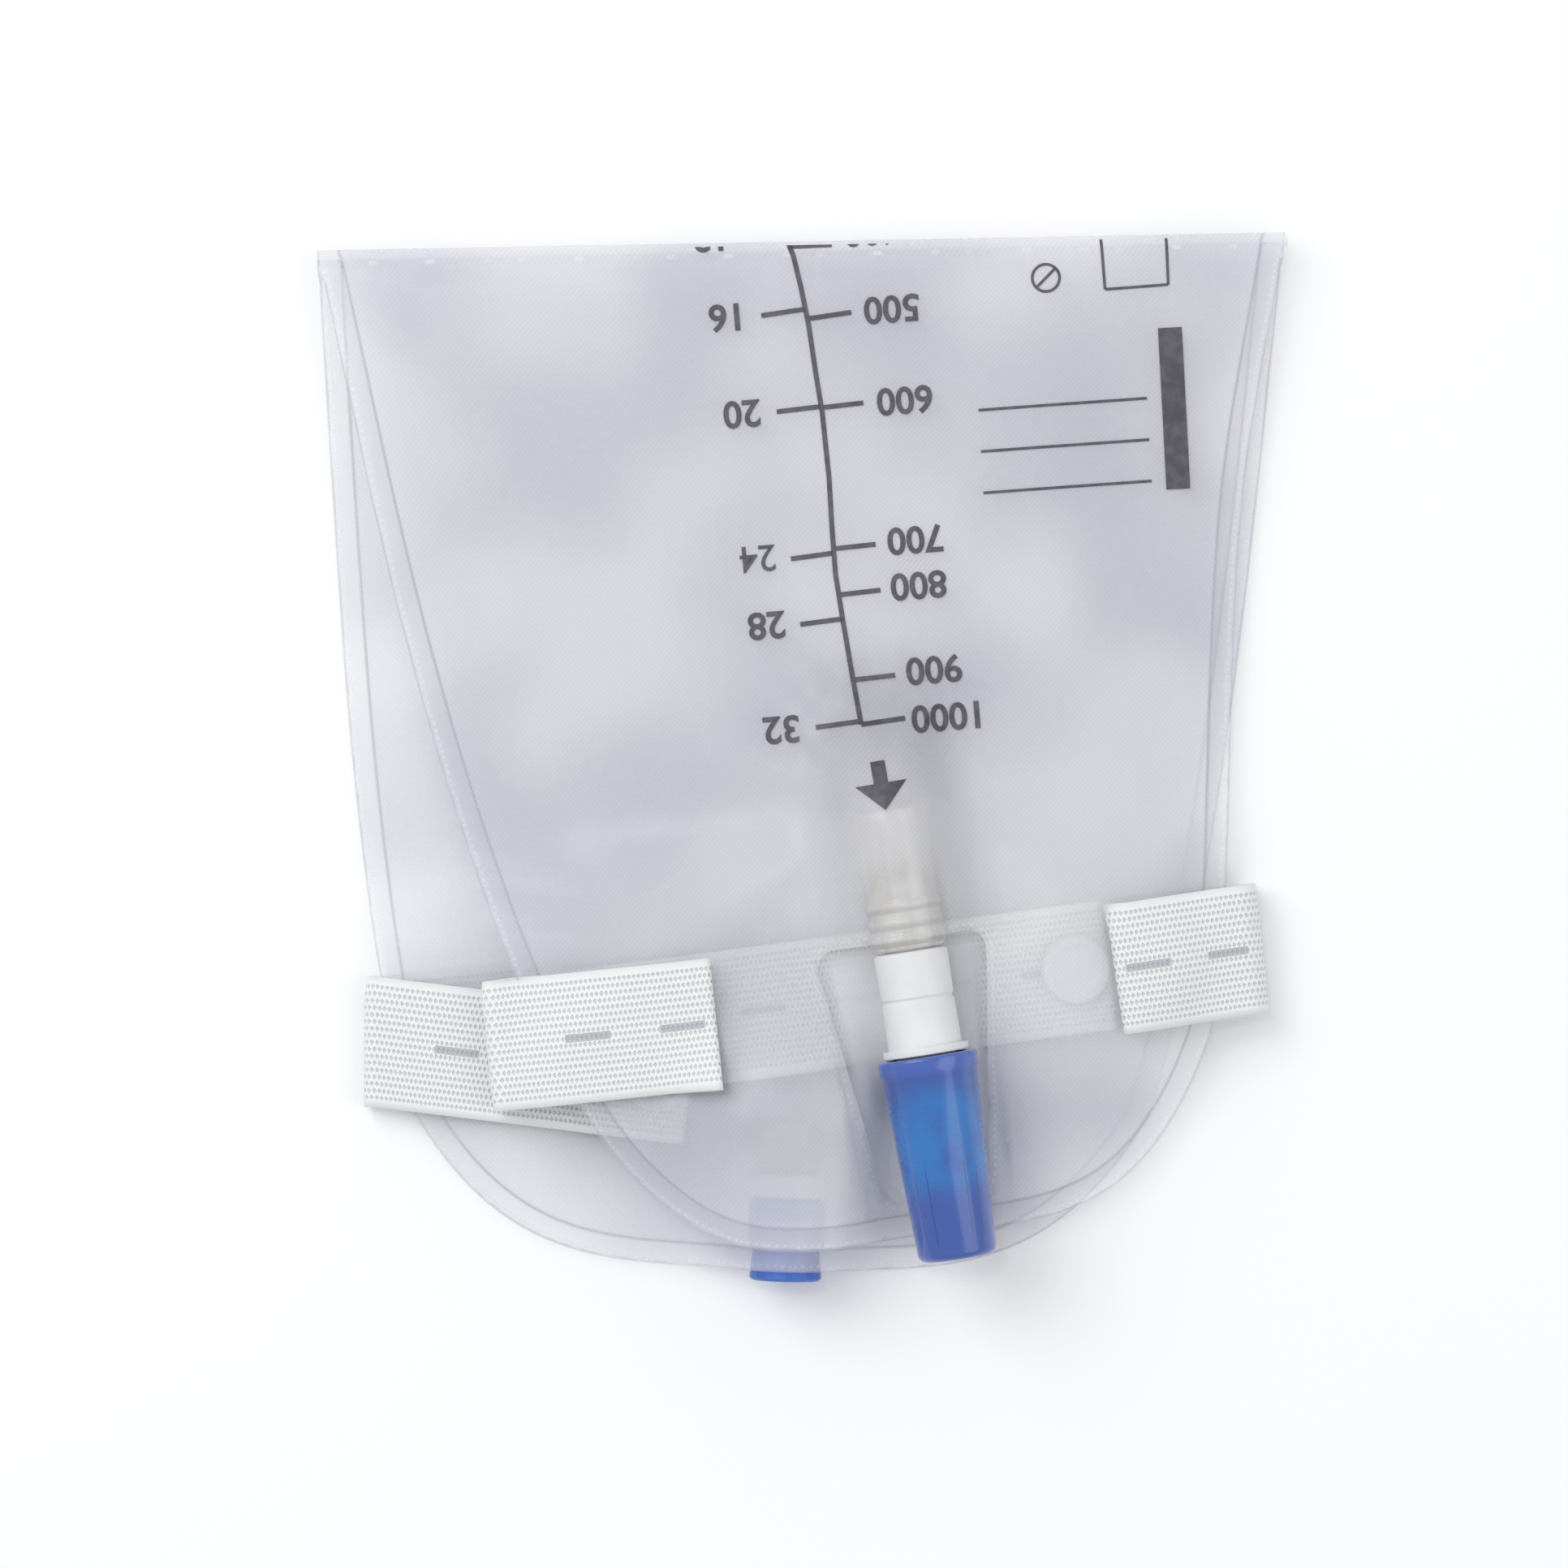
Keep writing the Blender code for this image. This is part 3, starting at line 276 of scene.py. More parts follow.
bag = {
    "film": 0.3, "fold": (-0.1, 79.5), "foldTurn": 1.07, "settle": 55,
    "foldRadius": 3.0, "innerRadius": 1.5, "foldMargin": 1,
    "outlet": {
        "length": 159, "shoulder": 134, "width": 75, "taper": 11, "rounding": 6.2,
        "tilt": -1.6, "draw": 0,
    },
    "inlet": {
        "length": 155, "shoulder": 129, "width": 75, "taper": 16.1, "rounding": 9.7,
        "tilt": 6.5, "draw": 6,
    },
    "columns": 90, "rows": 92, "foldRows": 10, "rowSpread": 0.6, "smoothing": 9,
    "corner": 4.0, "cornerSteps": 6, "inset": 0.15, "merge": 1e-5,
    "rimSteps": 150, "endSteps": 200, "edgeStep": 0.4,
    "filmGap": 0.2, "missed": 1.3,  # least gap between the films, and their gap where a ray misses
}
foldPlace = Vector(bag["fold"])


def ease(value):
    value = min(max(value, 0), 1)
    return value * value * (3 - 2 * value)


class Half:
    # One half of the folded bag, in millimetres from the fold
    def __init__(self, sizes):
        self.sizes = sizes
        tilt = math.radians(sizes["tilt"])
        self.tilt = tilt
        self.down = Vector((math.sin(tilt), -math.cos(tilt)))
        self.side = towards(tilt)

    def flat(self, rank, share):
        # Across and along, from a row's rank and a share of its width
        sizes = self.sizes
        near = bag["foldRadius"]
        spread = bag["rowSpread"]
        sideS = near + (sizes["shoulder"] - near) * ((1 + spread) * rank - spread * rank * rank)
        part = sideS / sizes["shoulder"]
        width = sizes["width"] - sizes["taper"] * part - sizes["rounding"] * part**4
        if share > 0:
            width -= sizes["draw"] * math.sin(math.pi * min(part, 1))
        s = sideS + (sizes["length"] - sizes["shoulder"]) * rank**3 * (1 - share**4)
        return Vector((share * (width - bag["inset"]), s - bag["inset"] * rank))

    def plan(self, s, across):
        # On the table, turning from the fold's direction to the half's own
        start = math.radians(bag["foldTurn"])
        turn = start + (self.tilt - start) * ease(s / bag["settle"])
        return foldPlace + self.down * s + towards(turn) * across

    def local(self, spot):
        offset = spot - foldPlace
        return offset.dot(self.down), offset.dot(self.side)


outletHalf = Half(bag["outlet"])
inletHalf = Half(bag["inlet"])


class Axis:
    # A fitting's axis: where its mouth is and which way it points, in millimetres
    def __init__(self, x, y, z, tilt):
        self.origin = Vector((x, y))
        self.z = z
        self.out = Vector((math.sin(math.radians(tilt)), -math.cos(math.radians(tilt))))
        self.side = Vector((-self.out.y, self.out.x))

    def plan(self, along, across):
        return self.origin + self.out * along + self.side * across

    def matrix(self):
        turn = Matrix((self.side.to_3d(), (0, 0, 1), self.out.to_3d())).transposed().to_4x4()
        return Matrix.Translation(Vector((self.origin.x, self.origin.y, self.z)) * mm) @ turn


inletAxis = Axis(19.127, -46.065, 13.7, 8.9)
valveAxis = Axis(-2.575, -80.9, 6.4, -1.6)

windows = {
    "inlet": {"start": -18.1, "stop": 22.6, "startHalf": 13.5, "stopHalf": 7.9, "across": -1.4},
    "valve": {"start": -19.7, "stop": -9.0, "startHalf": 9.6, "stopHalf": 9.6, "across": 0},
}


def windowOutline(half, axis, sizes):
    # Round-cornered outline of a window, as (across, s) of its half
    middle, first, last = sizes["across"], sizes["startHalf"], sizes["stopHalf"]
    places = [
        (sizes["start"], middle - first), (sizes["start"], middle + first),
        (sizes["stop"], middle + last), (sizes["stop"], middle - last),
    ]
    corners = []
    for along, across in places:
        s, side = half.local(axis.plan(along, across))
        corners.append(Vector((side, s)))
    points = []
    for index, corner in enumerate(corners):
        before = (corners[index - 1] - corner).normalized() * bag["corner"]
        after = (corners[(index + 1) % 4] - corner).normalized() * bag["corner"]
        for step in range(bag["cornerSteps"] + 1):
            share = step / bag["cornerSteps"]
            points.append(
                (1 - share) ** 2 * (corner + before) + 2 * share * (1 - share) * corner
                + share**2 * (corner + after)
            )
    return points


outlines = {
    "inlet": windowOutline(inletHalf, inletAxis, windows["inlet"]),
    "valve": windowOutline(outletHalf, valveAxis, windows["valve"]),
}


def sidesOf(outline):
    # Each side of a convex outline, as a point on it and its outward normal
    pairs = list(zip(outline, outline[1:] + outline[:1]))
    turn = 1 if sum(a.x * b.y - a.y * b.x for a, b in pairs) > 0 else -1
    sides = []
    for start, end in pairs:
        run = end - start
        if run.length > bag["merge"]:
            sides.append((Vector((start.x, start.y, 0)), Vector((run.y, -run.x, 0)).normalized() * turn))
    return sides


def cutWindow(bm, outline):
    # Cuts a convex outline out of one half of a flat grid, one side after another
    low = Vector((min(p.x for p in outline), min(p.y for p in outline)))
    high = Vector((max(p.x for p in outline), max(p.y for p in outline)))
    inside = []
    for face in bm.faces:
        xs = [v.co.x for v in face.verts]
        ys = [v.co.y for v in face.verts]
        if min(xs) < high.x and max(xs) > low.x and min(ys) < high.y and max(ys) > low.y:
            inside.append(face)
    for spot, normal in sidesOf(outline):
        geometry = set(inside)
        for face in inside:
            geometry.update(face.edges)
            geometry.update(face.verts)
        cut = bmesh.ops.bisect_plane(
            bm, geom=list(geometry), dist=bag["merge"], plane_co=spot, plane_no=normal
        )
        faces = [item for item in cut["geom"] if isinstance(item, bmesh.types.BMFace)]
        inside = [face for face in faces if (face.calc_center_median() - spot).dot(normal) < 0]
    bmesh.ops.delete(bm, geom=inside, context="FACES")


def edgeTree(lines):
    # Points along lines in the flat bag, each with its distance along its line
    spots, travelled = [], []
    for sign, line in lines:
        run = 0.0
        for start, end in zip(line, line[1:]):
            length = (end - start).length
            count = max(1, round(length / bag["edgeStep"]))
            for step in range(count):
                spot = start.lerp(end, step / count)
                spots.append(Vector((spot.x, sign * spot.y, 0)))
                travelled.append(run + length * step / count)
            run += length
    tree = KDTree(len(spots))
    for index, spot in enumerate(spots):
        tree.insert(spot, index)
    tree.balance()
    return tree, travelled


rimLines, windowLines = [], []
for sign, half, key in ((-1, outletHalf, "valve"), (1, inletHalf, "inlet")):
    ranks = [step / bag["rimSteps"] for step in range(bag["rimSteps"] + 1)]
    shares = [step / (bag["endSteps"] / 2) - 1 for step in range(bag["endSteps"] + 1)]
    rimLines.append((sign, [half.flat(rank, -1) for rank in ranks]))
    rimLines.append((sign, [half.flat(1, share) for share in shares]))
    rimLines.append((sign, [half.flat(rank, 1) for rank in ranks]))
    windowLines.append((sign, outlines[key] + outlines[key][:1]))


ripple = {
    "edge": 4, "edgeFade": 12,  # none at the rim, full this much further in
    "swell": 0.5, "pitch": 31.016, "bend": 1.4, "bendRate": 0.045, "end": 88, "fade": 12,
    "pucker": 0.6, "folds": 11, "twist": 1.6, "twists": 3, "eye": 9, "reach": 17,
}
portBack = -38.4  # along the inlet axis
portPlace = Vector(reversed(inletHalf.local(inletAxis.plan(portBack, 0))))
inletSides = sidesOf(outlines["inlet"])


def extraHaze(flat, printed):
    # The printed film is hazier over the port's end and clearer at its mouth, the plain one
    # hazier and painted paler in the inlet's window, a painted light over the shade there
    if not printed:
        depth = min((spot - flat).dot(normal) for spot, normal in inletSides)
        return vinyl["windowHazeAndPaintedLight"] * ease(depth / vinyl["fillFade"])
    offset = flat.xy - portPlace
    turn = math.radians(vinyl["turn"])
    beside = offset.x * math.cos(turn) - offset.y * math.sin(turn)
    down = offset.y * math.cos(turn) + offset.x * math.sin(turn)
    over = 1 - ease((abs(beside) - vinyl["portHalf"]) / vinyl["portFade"])
    halfLength = vinyl["portLength"] / 2
    over *= 1 - ease((abs(down - halfLength) - halfLength) / vinyl["portEndFade"])
    clear = ease((down - vinyl["clearFrom"]) / vinyl["clearFade"])
    return over * (vinyl["cover"] + clear * (vinyl["clear"] - vinyl["cover"]))


def rippleHeight(flat, gap):
    # Long soft ripples over the inlet half, and puckers that fan out from its port
    edge = ease((gap - ripple["edge"]) / ripple["edgeFade"])
    bend = ripple["bend"] * math.sin(flat.y * ripple["bendRate"])
    wave = math.sin(flat.x / ripple["pitch"] * 2 * math.pi + bend)
    long = ripple["swell"] * (0.5 + 0.5 * wave) * (1 - ease((flat.y - ripple["end"]) / ripple["fade"]))
    offset = flat.xy - portPlace
    turn = math.atan2(offset.y, offset.x)
    fold = math.cos(turn * ripple["folds"] + ripple["twist"] * math.sin(turn * ripple["twists"]))
    eye = ripple["eye"]
    near = math.exp(-((offset.length - eye) / ripple["reach"]) ** 2) * ease(offset.length / eye)
    return edge * (long + ripple["pucker"] * (0.5 + 0.5 * fold) * near)


def flatFilm(printed):
    # One film spread flat, as a fine grid with the fold at y = 0 and the inlet half above it
    bm = bmesh.new()
    rows, foldRows = bag["rows"], bag["foldRows"]
    total = 2 * rows + foldRows
    bmesh.ops.create_grid(bm, x_segments=bag["columns"], y_segments=total, size=1)
    for vert in bm.verts:
        share = vert.co.x
        row = round((vert.co.y + 1) / 2 * total)
        if row < rows:
            flat = outletHalf.flat(1 - row / rows, share)
            vert.co = (flat.x, -flat.y, 0)
        elif row > rows + foldRows:
            flat = inletHalf.flat((row - rows - foldRows) / rows, share)
            vert.co = (flat.x, flat.y, 0)
        else:
            part = (row - rows) / foldRows * 2 - 1
            vert.co = (share * (bag["outlet"]["width"] - bag["inset"]), part * bag["foldRadius"], 0)
    if printed:
        cutWindow(bm, outlines["inlet"])
        cutWindow(bm, [Vector((p.x, -p.y)) for p in outlines["valve"]])
    return bm


def markEdges(bm, printed):
    # Keeps each flat place and its distances from the edges in UV layers
    rims, _ = edgeTree(rimLines)
    edges, travelled = edgeTree(rimLines + windowLines if printed else rimLines)
    layers = {key: bm.loops.layers.uv.new(key) for key in ("flat", "rim", "edge")}
    flats = {vert: vert.co.copy() for vert in bm.verts}
    gaps = {}
    for vert, flat in flats.items():
        rimGap = rims.find(flat)[2]
        _, index, gaps[vert] = edges.find(flat)
        if abs(flat.y) < bag["foldRadius"]:
            rimGap = min(rimGap, bag["outlet"]["width"] - abs(flat.x))
        values = {
            "flat": (flat.x, flat.y), "rim": (rimGap, extraHaze(flat, printed)),
            "edge": (gaps[vert], travelled[index]),
        }
        for loop in vert.link_loops:
            for key, (first, second) in values.items():
                loop[layers[key]].uv = (first / perUv, second / perUv)
    return flats, gaps


def layFilm(bm, flats, node, radius, printed):
    # Folds the flat film and lays it on the heights of its CAD solid
    near = bag["foldRadius"]
    half = bag["film"] / 2
    middle = (half + near) * mm
    for vert, flat in flats.items():
        if abs(flat.y) <= near:
            turn = (flat.y / near * 0.5 + 0.5) * math.pi
            side = outletHalf if flat.y < 0 else inletHalf
            plan = side.plan(near - radius * math.sin(turn), flat.x)
            vert.co = (plan.x * mm, plan.y * mm, middle - radius * math.cos(turn) * mm)
            continue
        above = flat.y > 0
        side = inletHalf if above else outletHalf
        plan = side.plan(abs(flat.y), flat.x) * mm
        way = 1 if above else -1
        other = surfaceZ("plain_film", plan, above) if printed else None
        limit = None if other is None else other + way * bag["filmGap"] * mm
        z = surfaceZ(node, plan, above, limit)
        if z is None:
            z = (middle if other is None else other) + way * bag["missed"] * mm
        vert.co = (plan.x, plan.y, z - way * half * mm)
    for _ in range(bag["smoothing"]):
        levels = {}
        for vert in bm.verts:
            if abs(flats[vert].y) <= near + bag["foldMargin"]:
                continue
            edges = [e for e in vert.link_edges if not vert.is_boundary or e.is_boundary]
            around = [e.other_vert(vert).co.z for e in edges]
            levels[vert] = vert.co.z * 0.5 + sum(around) / len(around) * 0.5
        for vert, level in levels.items():
            vert.co.z = level


def filmPiece(name, node, radius, printed, finish):
    bm = flatFilm(printed)
    flats, gaps = markEdges(bm, printed)
    layFilm(bm, flats, node, radius, printed)
    if printed:
        for vert, flat in flats.items():
            if flat.y > bag["foldRadius"]:
                vert.co.z += rippleHeight(flat, gaps[vert]) * mm
    bmesh.ops.recalc_face_normals(bm, faces=bm.faces)
    piece = pieceFrom(bm, name, finish)
    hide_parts(node)
    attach(piece, "bag")
    return piece


vinyl = {
    "tint": shade(0.72, 0.72, 0.79), "pale": shade(0.85, 0.85, 0.885), "line": shade(0.5, 0.5, 0.57),
    "cloud": 0.03, "cloudRange": (0.36, 0.64), "roughness": 0.22, "roughCloud": 0.12,
    "haze": 0.32, "emboss": 0.82, "embossHaze": 0.042, "cross": 0.4,
    "weldWidth": 3.5, "weldSoft": 0.3, "weldHaze": 0.23,
    "lineHaze": 0.09, "rimLine": (0.25, 0.3), "weldLine": (0.12, 0.25),  # half width, softness
    "dot": 1.1, "dotInset": 0.9, "dotLine": (0.12, 0.2), "dotHaze": 0.14,
    # The crease and glint values place the painted highlight dashes along the fold
    "crease": 2.5, "creaseLine": (0.08, 0.3), "glint": 4.6, "glintBeat": 7.7, "glintRange": (0.3, 0.8),
    # Extra haze, the more of it the paler the film: over the port's end, at its mouth, and in the inlet's
    # window, there as painted light
    "cover": 0.04, "clear": -0.17, "clearFrom": 5, "clearFade": 11, "windowHazeAndPaintedLight": 0.40, "fillFade": 2,
    "extraLight": 2.5,
    "portHalf": 5.4, "portFade": 2, "portLength": 21.5, "portEndFade": 3, "turn": 2.4,
}


def vinylFinish(name, printed):
    # Hazy clear vinyl: fine diagonal embossing and a clearer weld along the rim. The printed film
    # also has a dotted seam and painted highlights along the fold: short glinting dashes.
    made = Finish(name, IOR=1.5)
    across, along = made.layer("flat")
    gap, extra = made.layer("rim")
    hatch = ((across + along) / vinyl["emboss"]).wave()
    body = made.ramp(gap, vinyl["weldWidth"] - vinyl["weldSoft"], vinyl["weldWidth"] + vinyl["weldSoft"])
    lines = made.line(gap, *vinyl["rimLine"])
    lines = lines.most(made.line(gap - vinyl["weldWidth"], *vinyl["weldLine"]))
    cloud = made.noise(made.place(), vinyl["cloud"], 1)
    haze = vinyl["weldHaze"] + extra + lines * vinyl["lineHaze"]
    # Paler in soft patches and where there is extra haze; in the inlet's window that is painted light
    light = made.ramp(cloud, *vinyl["cloudRange"]).most(extra * vinyl["extraLight"])
    if printed:
        seam, run = made.layer("edge")
        hatch = hatch + ((across - along) / vinyl["emboss"]).wave() * vinyl["cross"]
        dotsAndPaintedGlints = made.line(seam - vinyl["dotInset"], *vinyl["dotLine"]) * (run / vinyl["dot"]).wave()
        # Painted highlights: short glinting dashes along the fold's crease, paler and hazier than the
        # film
        beat = (across / vinyl["glint"]).wave() * (across / vinyl["glintBeat"]).wave()
        paintedGlints = made.ramp(beat, *vinyl["glintRange"])
        dotsAndPaintedGlints = dotsAndPaintedGlints.most(paintedGlints * made.line(along - vinyl["crease"], *vinyl["creaseLine"]))
        haze = haze + dotsAndPaintedGlints * vinyl["dotHaze"]
        light = light.most(dotsAndPaintedGlints)
    made.feed("Alpha", haze + body * (vinyl["haze"] - vinyl["weldHaze"] + hatch * vinyl["embossHaze"]))
    tint = made.blend(light, vinyl["tint"], vinyl["pale"])
    made.feed("Base Color", made.blend(lines, tint, vinyl["line"]))
    made.feed("Roughness", vinyl["roughness"] + cloud * vinyl["roughCloud"])
    return made.material


flap = {
    "tint": shade(0.8, 0.8, 0.86), "cloud": 0.2, "haze": 0.08, "hazeCloud": 0.08,
    "upward": 0.3,  # least upward slope of a face that is kept
    "cuts": 3,
}


def flapSheet(name, node, finish):
    # The upper face of a flap's CAD solid, as one thin sheet
    bm = bmesh.new()
    bm.from_mesh(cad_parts[node].data)
    bm.normal_update()
    lower = [face for face in bm.faces if face.normal.z < flap["upward"]]
    bmesh.ops.delete(bm, geom=lower, context="FACES")
    bmesh.ops.subdivide_edges(bm, edges=bm.edges, cuts=flap["cuts"], use_grid_fill=True)
    piece = pieceFrom(bm, name, finish)
    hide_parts(node)
    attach(piece, "bag")


def makeFilms():
    finish = vinylFinish("printedVinyl", True)
    printed = filmPiece("printedFilm", "printed_film", bag["foldRadius"], True, finish)
    finish = vinylFinish("plainVinyl", False)
    filmPiece("plainFilm", "plain_film", bag["innerRadius"], False, finish)
    soft = Finish("flapVinyl", Base_Color=flap["tint"], Roughness=0.3)
    cloud = soft.noise(soft.place(), flap["cloud"], 1)
    soft.feed("Alpha", flap["haze"] + cloud * flap["hazeCloud"])
    soft.relief(cloud, strength=0.5, depth=0.4)
    flapSheet("backFlap", "anti_reflux_flap_back", soft.material)
    flapSheet("frontFlap", "anti_reflux_flap_front", soft.material)
    return printed


printedFilm = makeFilms()
print("films laid")


# Turned fittings

turned = {"segments": 72, "crease": 38, "rounding": 0.12, "roundingSteps": 2}


def turnedPiece(name, profile, finish, node, body, closed=False):
    # A profile of (radius, place along the axis) in millimetres, turned round the inlet's axis
    segments = turned["segments"]
    crease = math.radians(turned["crease"])
    bm = bmesh.new()
    rings = []
    for radius, along in profile:
        if radius == 0:
            rings.append([bm.verts.new((0, 0, along * mm))])
            continue
        spots = [towards(2 * math.pi * k / segments) * radius * mm for k in range(segments)]
        rings.append([bm.verts.new((spot.x, spot.y, along * mm)) for spot in spots])
    for first, second in zip(rings, rings[1:] + (rings[:1] if closed else [])):
        for k in range(segments):
            after = (k + 1) % segments
            if len(first) == 1:
                bm.faces.new((first[0], second[k], second[after]))
            elif len(second) == 1:
                bm.faces.new((first[after], first[k], second[0]))
            else:
                bm.faces.new((first[k], second[k], second[after], first[after]))
    bmesh.ops.recalc_face_normals(bm, faces=bm.faces)
    for edge in bm.edges:
        if edge.is_manifold and edge.calc_face_angle(0) > crease:
            edge.smooth = False
    piece = pieceFrom(bm, name, finish)
    piece.matrix_world = inletAxis.matrix()
    bevel = piece.modifiers.new("Rounding", "BEVEL")
    bevel.width = turned["rounding"] * mm
    bevel.segments = turned["roundingSteps"]
    bevel.limit_method = "ANGLE"
    bevel.angle_limit = crease
    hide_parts(node)
    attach(piece, body)


def arc(radius, along, size, start, end, steps=6):
    points = []
    for step in range(steps + 1):
        turn = math.radians(start + (end - start) * step / steps)
        points.append((radius + size * math.cos(turn), along + size * math.sin(turn)))
    return points


cap = {
    "length": 31.4, "mouth": 7.35, "end": 6.1, "collar": 7.7, "collarLength": 2.2, "wall": 1.3,
    "fillet": 1.3, "cut": 0.3, "collarSlope": (0.1, 0.6),
    "dishDepth": 0.25, "dishFloor": 0.62, "dishEdge": 0.68,  # the last two are shares of the end
    "bright": shade(0.016, 0.165, 0.5), "deep": shade(0.035, 0.085, 0.35), "brightRange": (0.2, 0.6),
    # Ranges from here on lie along the axis
    "rim": shade(0.05, 0.11, 0.42), "rimRange": (2.0, 3.4),
    "hollowStart": (2.0, 8.0), "hollowEnd": (17.0, 24.0), "hollowCloud": 6,
    "vein": shade(0.014, 0.045, 0.21), "veinStart": (15.0, 19.0), "veinEnd": (28.0, 29.5),
    "veinShade": 0.8, "ribs": 5, "ribLine": (0.006, 0.012), "ribPlace": 0.13,
    "sheen": shade(0.72, 0.72, 1.0),
}


def capFinish():
    # Slightly clear blue plastic: painted brighter in patches where it is hollow, as painted light
    # shining through it, with thin ribs showing through
    made = Finish(
        "blueCapPlastic", IOR=1.48, Coat_Weight=0.6, Coat_Roughness=0.08, Sheen_Weight=0.2,
        Sheen_Roughness=0.4,
    )
    made.shader.inputs["Sheen Tint"].default_value = cap["sheen"]
    place = made.place()
    x, y, z = made.parts(place)
    cloud = made.noise(place, 0.16, 3)
    uneven = z + (cloud - 0.5) * cap["hollowCloud"]
    # Painted light: brighter blue in patches over the hollow part
    hollow = made.ramp(z, *cap["hollowStart"]) * (1 - made.ramp(uneven, *cap["hollowEnd"]))
    body = made.blend(hollow * made.ramp(cloud, *cap["brightRange"]), cap["deep"], cap["bright"])
    body = made.blend(1 - made.ramp(z, *cap["rimRange"]), body, cap["rim"])
    turn = x.maths("ARCTAN2", y) * (cap["ribs"] / math.pi / 2)
    rib = made.line((turn.maths("FRACT") - 0.5).size() - cap["ribPlace"], *cap["ribLine"])
    vein = rib * made.ramp(z, *cap["veinStart"]) * (1 - made.ramp(z, *cap["veinEnd"]))
    made.feed("Base Color", made.blend(vein * cap["veinShade"], body, cap["vein"]))
    made.feed("Roughness", 0.24 + made.noise(place, 1.2, 2) * 0.08)
    made.relief(made.noise(place, 0.5, 2), strength=0.14, depth=0.12)
    return made.material


def makeCap():
    end, length, wall, cut, collar = (cap[key] for key in ("end", "length", "wall", "cut", "collar"))
    inner = cap["mouth"] - wall
    dish = length - cap["dishDepth"]
    slopeStart, slopeEnd = (cap["collarLength"] + rise for rise in cap["collarSlope"])
    profile = [(0, dish), (end * cap["dishFloor"], dish), (end * cap["dishEdge"], length)]
    profile += arc(end - cap["fillet"], length - cap["fillet"], cap["fillet"], 90, 0)
    profile += [
        (cap["mouth"], slopeEnd), (collar, slopeStart), (collar, cut), (collar - cut, 0),
        (inner + cut, 0), (inner, 2 * cut), (end - wall, length - wall), (0, length - wall),
    ]
    turnedPiece("inletCap", profile, capFinish(), "inlet_cap", "cap")


connector = {
    "ring": 6.6, "ringThick": 1.1, "radius": 5.7, "length": 16.0, "gap": 0.3,
    "spigot": 3.9, "spigotLength": 11.0, "lumen": 2.3, "cut": 0.5, "backCut": 0.4,
    "barb": 27.0, "root": 4.6, "tip": 3.4,
    "steps": 3, "stepStart": 0.6, "stepRidge": 1.0, "stepFoot": 0.8, "stepBack": 0.45,
    "groove": [(0.1, -8.4), (0.35, -8.6), (0.35, -9.0), (0.1, -9.2)],  # depth, place
    "bright": shade(0.74, 0.74, 0.745), "dull": shade(0.69, 0.695, 0.705),
}


def whiteFinish():
    made = Finish("whiteFittingPlastic", IOR=1.5)
    place = made.place()
    cloud = made.noise(place, 0.15, 3)
    made.feed("Base Color", made.clouded(cloud, connector["bright"], connector["dull"]))
    made.feed("Roughness", 0.34 + cloud * 0.12)
    made.relief(made.noise(place, 2.0, 1), strength=0.2, depth=0.1)
    return made.material


white = whiteFinish()


def makeConnector():
    radius, ring, spigot, lumen = (connector[key] for key in ("radius", "ring", "spigot", "lumen"))
    barb, root, tip, steps = (connector[key] for key in ("barb", "root", "tip", "steps"))
    cut, backCut = connector["cut"], connector["backCut"]
    front = -connector["gap"]
    back = front - connector["length"]
    ringBack = front - connector["ringThick"]
    end = back - connector["spigotLength"]
    profile = [(tip - cut, barb)]
    for step in range(steps):
        near, far = step / steps, (step + 1) / steps
        wide = tip + (root - tip) * far
        foot = barb * (1 - far)
        profile.append((tip + (root - tip) * near, barb * (1 - near) - connector["stepStart"]))
        profile.append((wide, foot + connector["stepRidge"]))
        if step < steps - 1:
            profile.append((wide - connector["stepBack"], foot + connector["stepFoot"]))
    profile += [(root, front), (ring, front), (ring, ringBack), (radius, ringBack)]
    profile += [(radius - depth, place) for depth, place in connector["groove"]]
    profile += [
        (radius, back + backCut), (radius - backCut, back), (spigot, back), (spigot, end + cut),
        (spigot - cut, end), (lumen, end), (lumen, barb),
    ]
    turnedPiece("inletConnector", profile, white, "inlet_connector", "bag", closed=True)


port = {
    "radius": 5.6, "length": 21.5, "bore": 2.7, "socket": 4.2, "cut": 0.3,
    "rib": 0.35, "ribs": 3, "pitch": 2.6, "firstRib": 0.6, "ribHalf": 0.35,  # the last two are in pitches
    "ribSteps": 8, "ribPower": 0.7,
    "dull": shade(0.65, 0.63, 0.57), "bright": shade(0.76, 0.75, 0.72), "haze": 0.46, "hazeCloud": 0.16,
    "paintedStreakHighlight": shade(0.83, 0.83, 0.82), "streakRange": (0.42, 0.62), "streakShade": 0.75,
    "shadow": shade(0.36, 0.35, 0.33), "shadowRange": (0.45, 0.9), "shadowShade": 0.4, "shadowFade": 0.9,
    "shadowShift": 0.1, "stretch": 0.05,
}


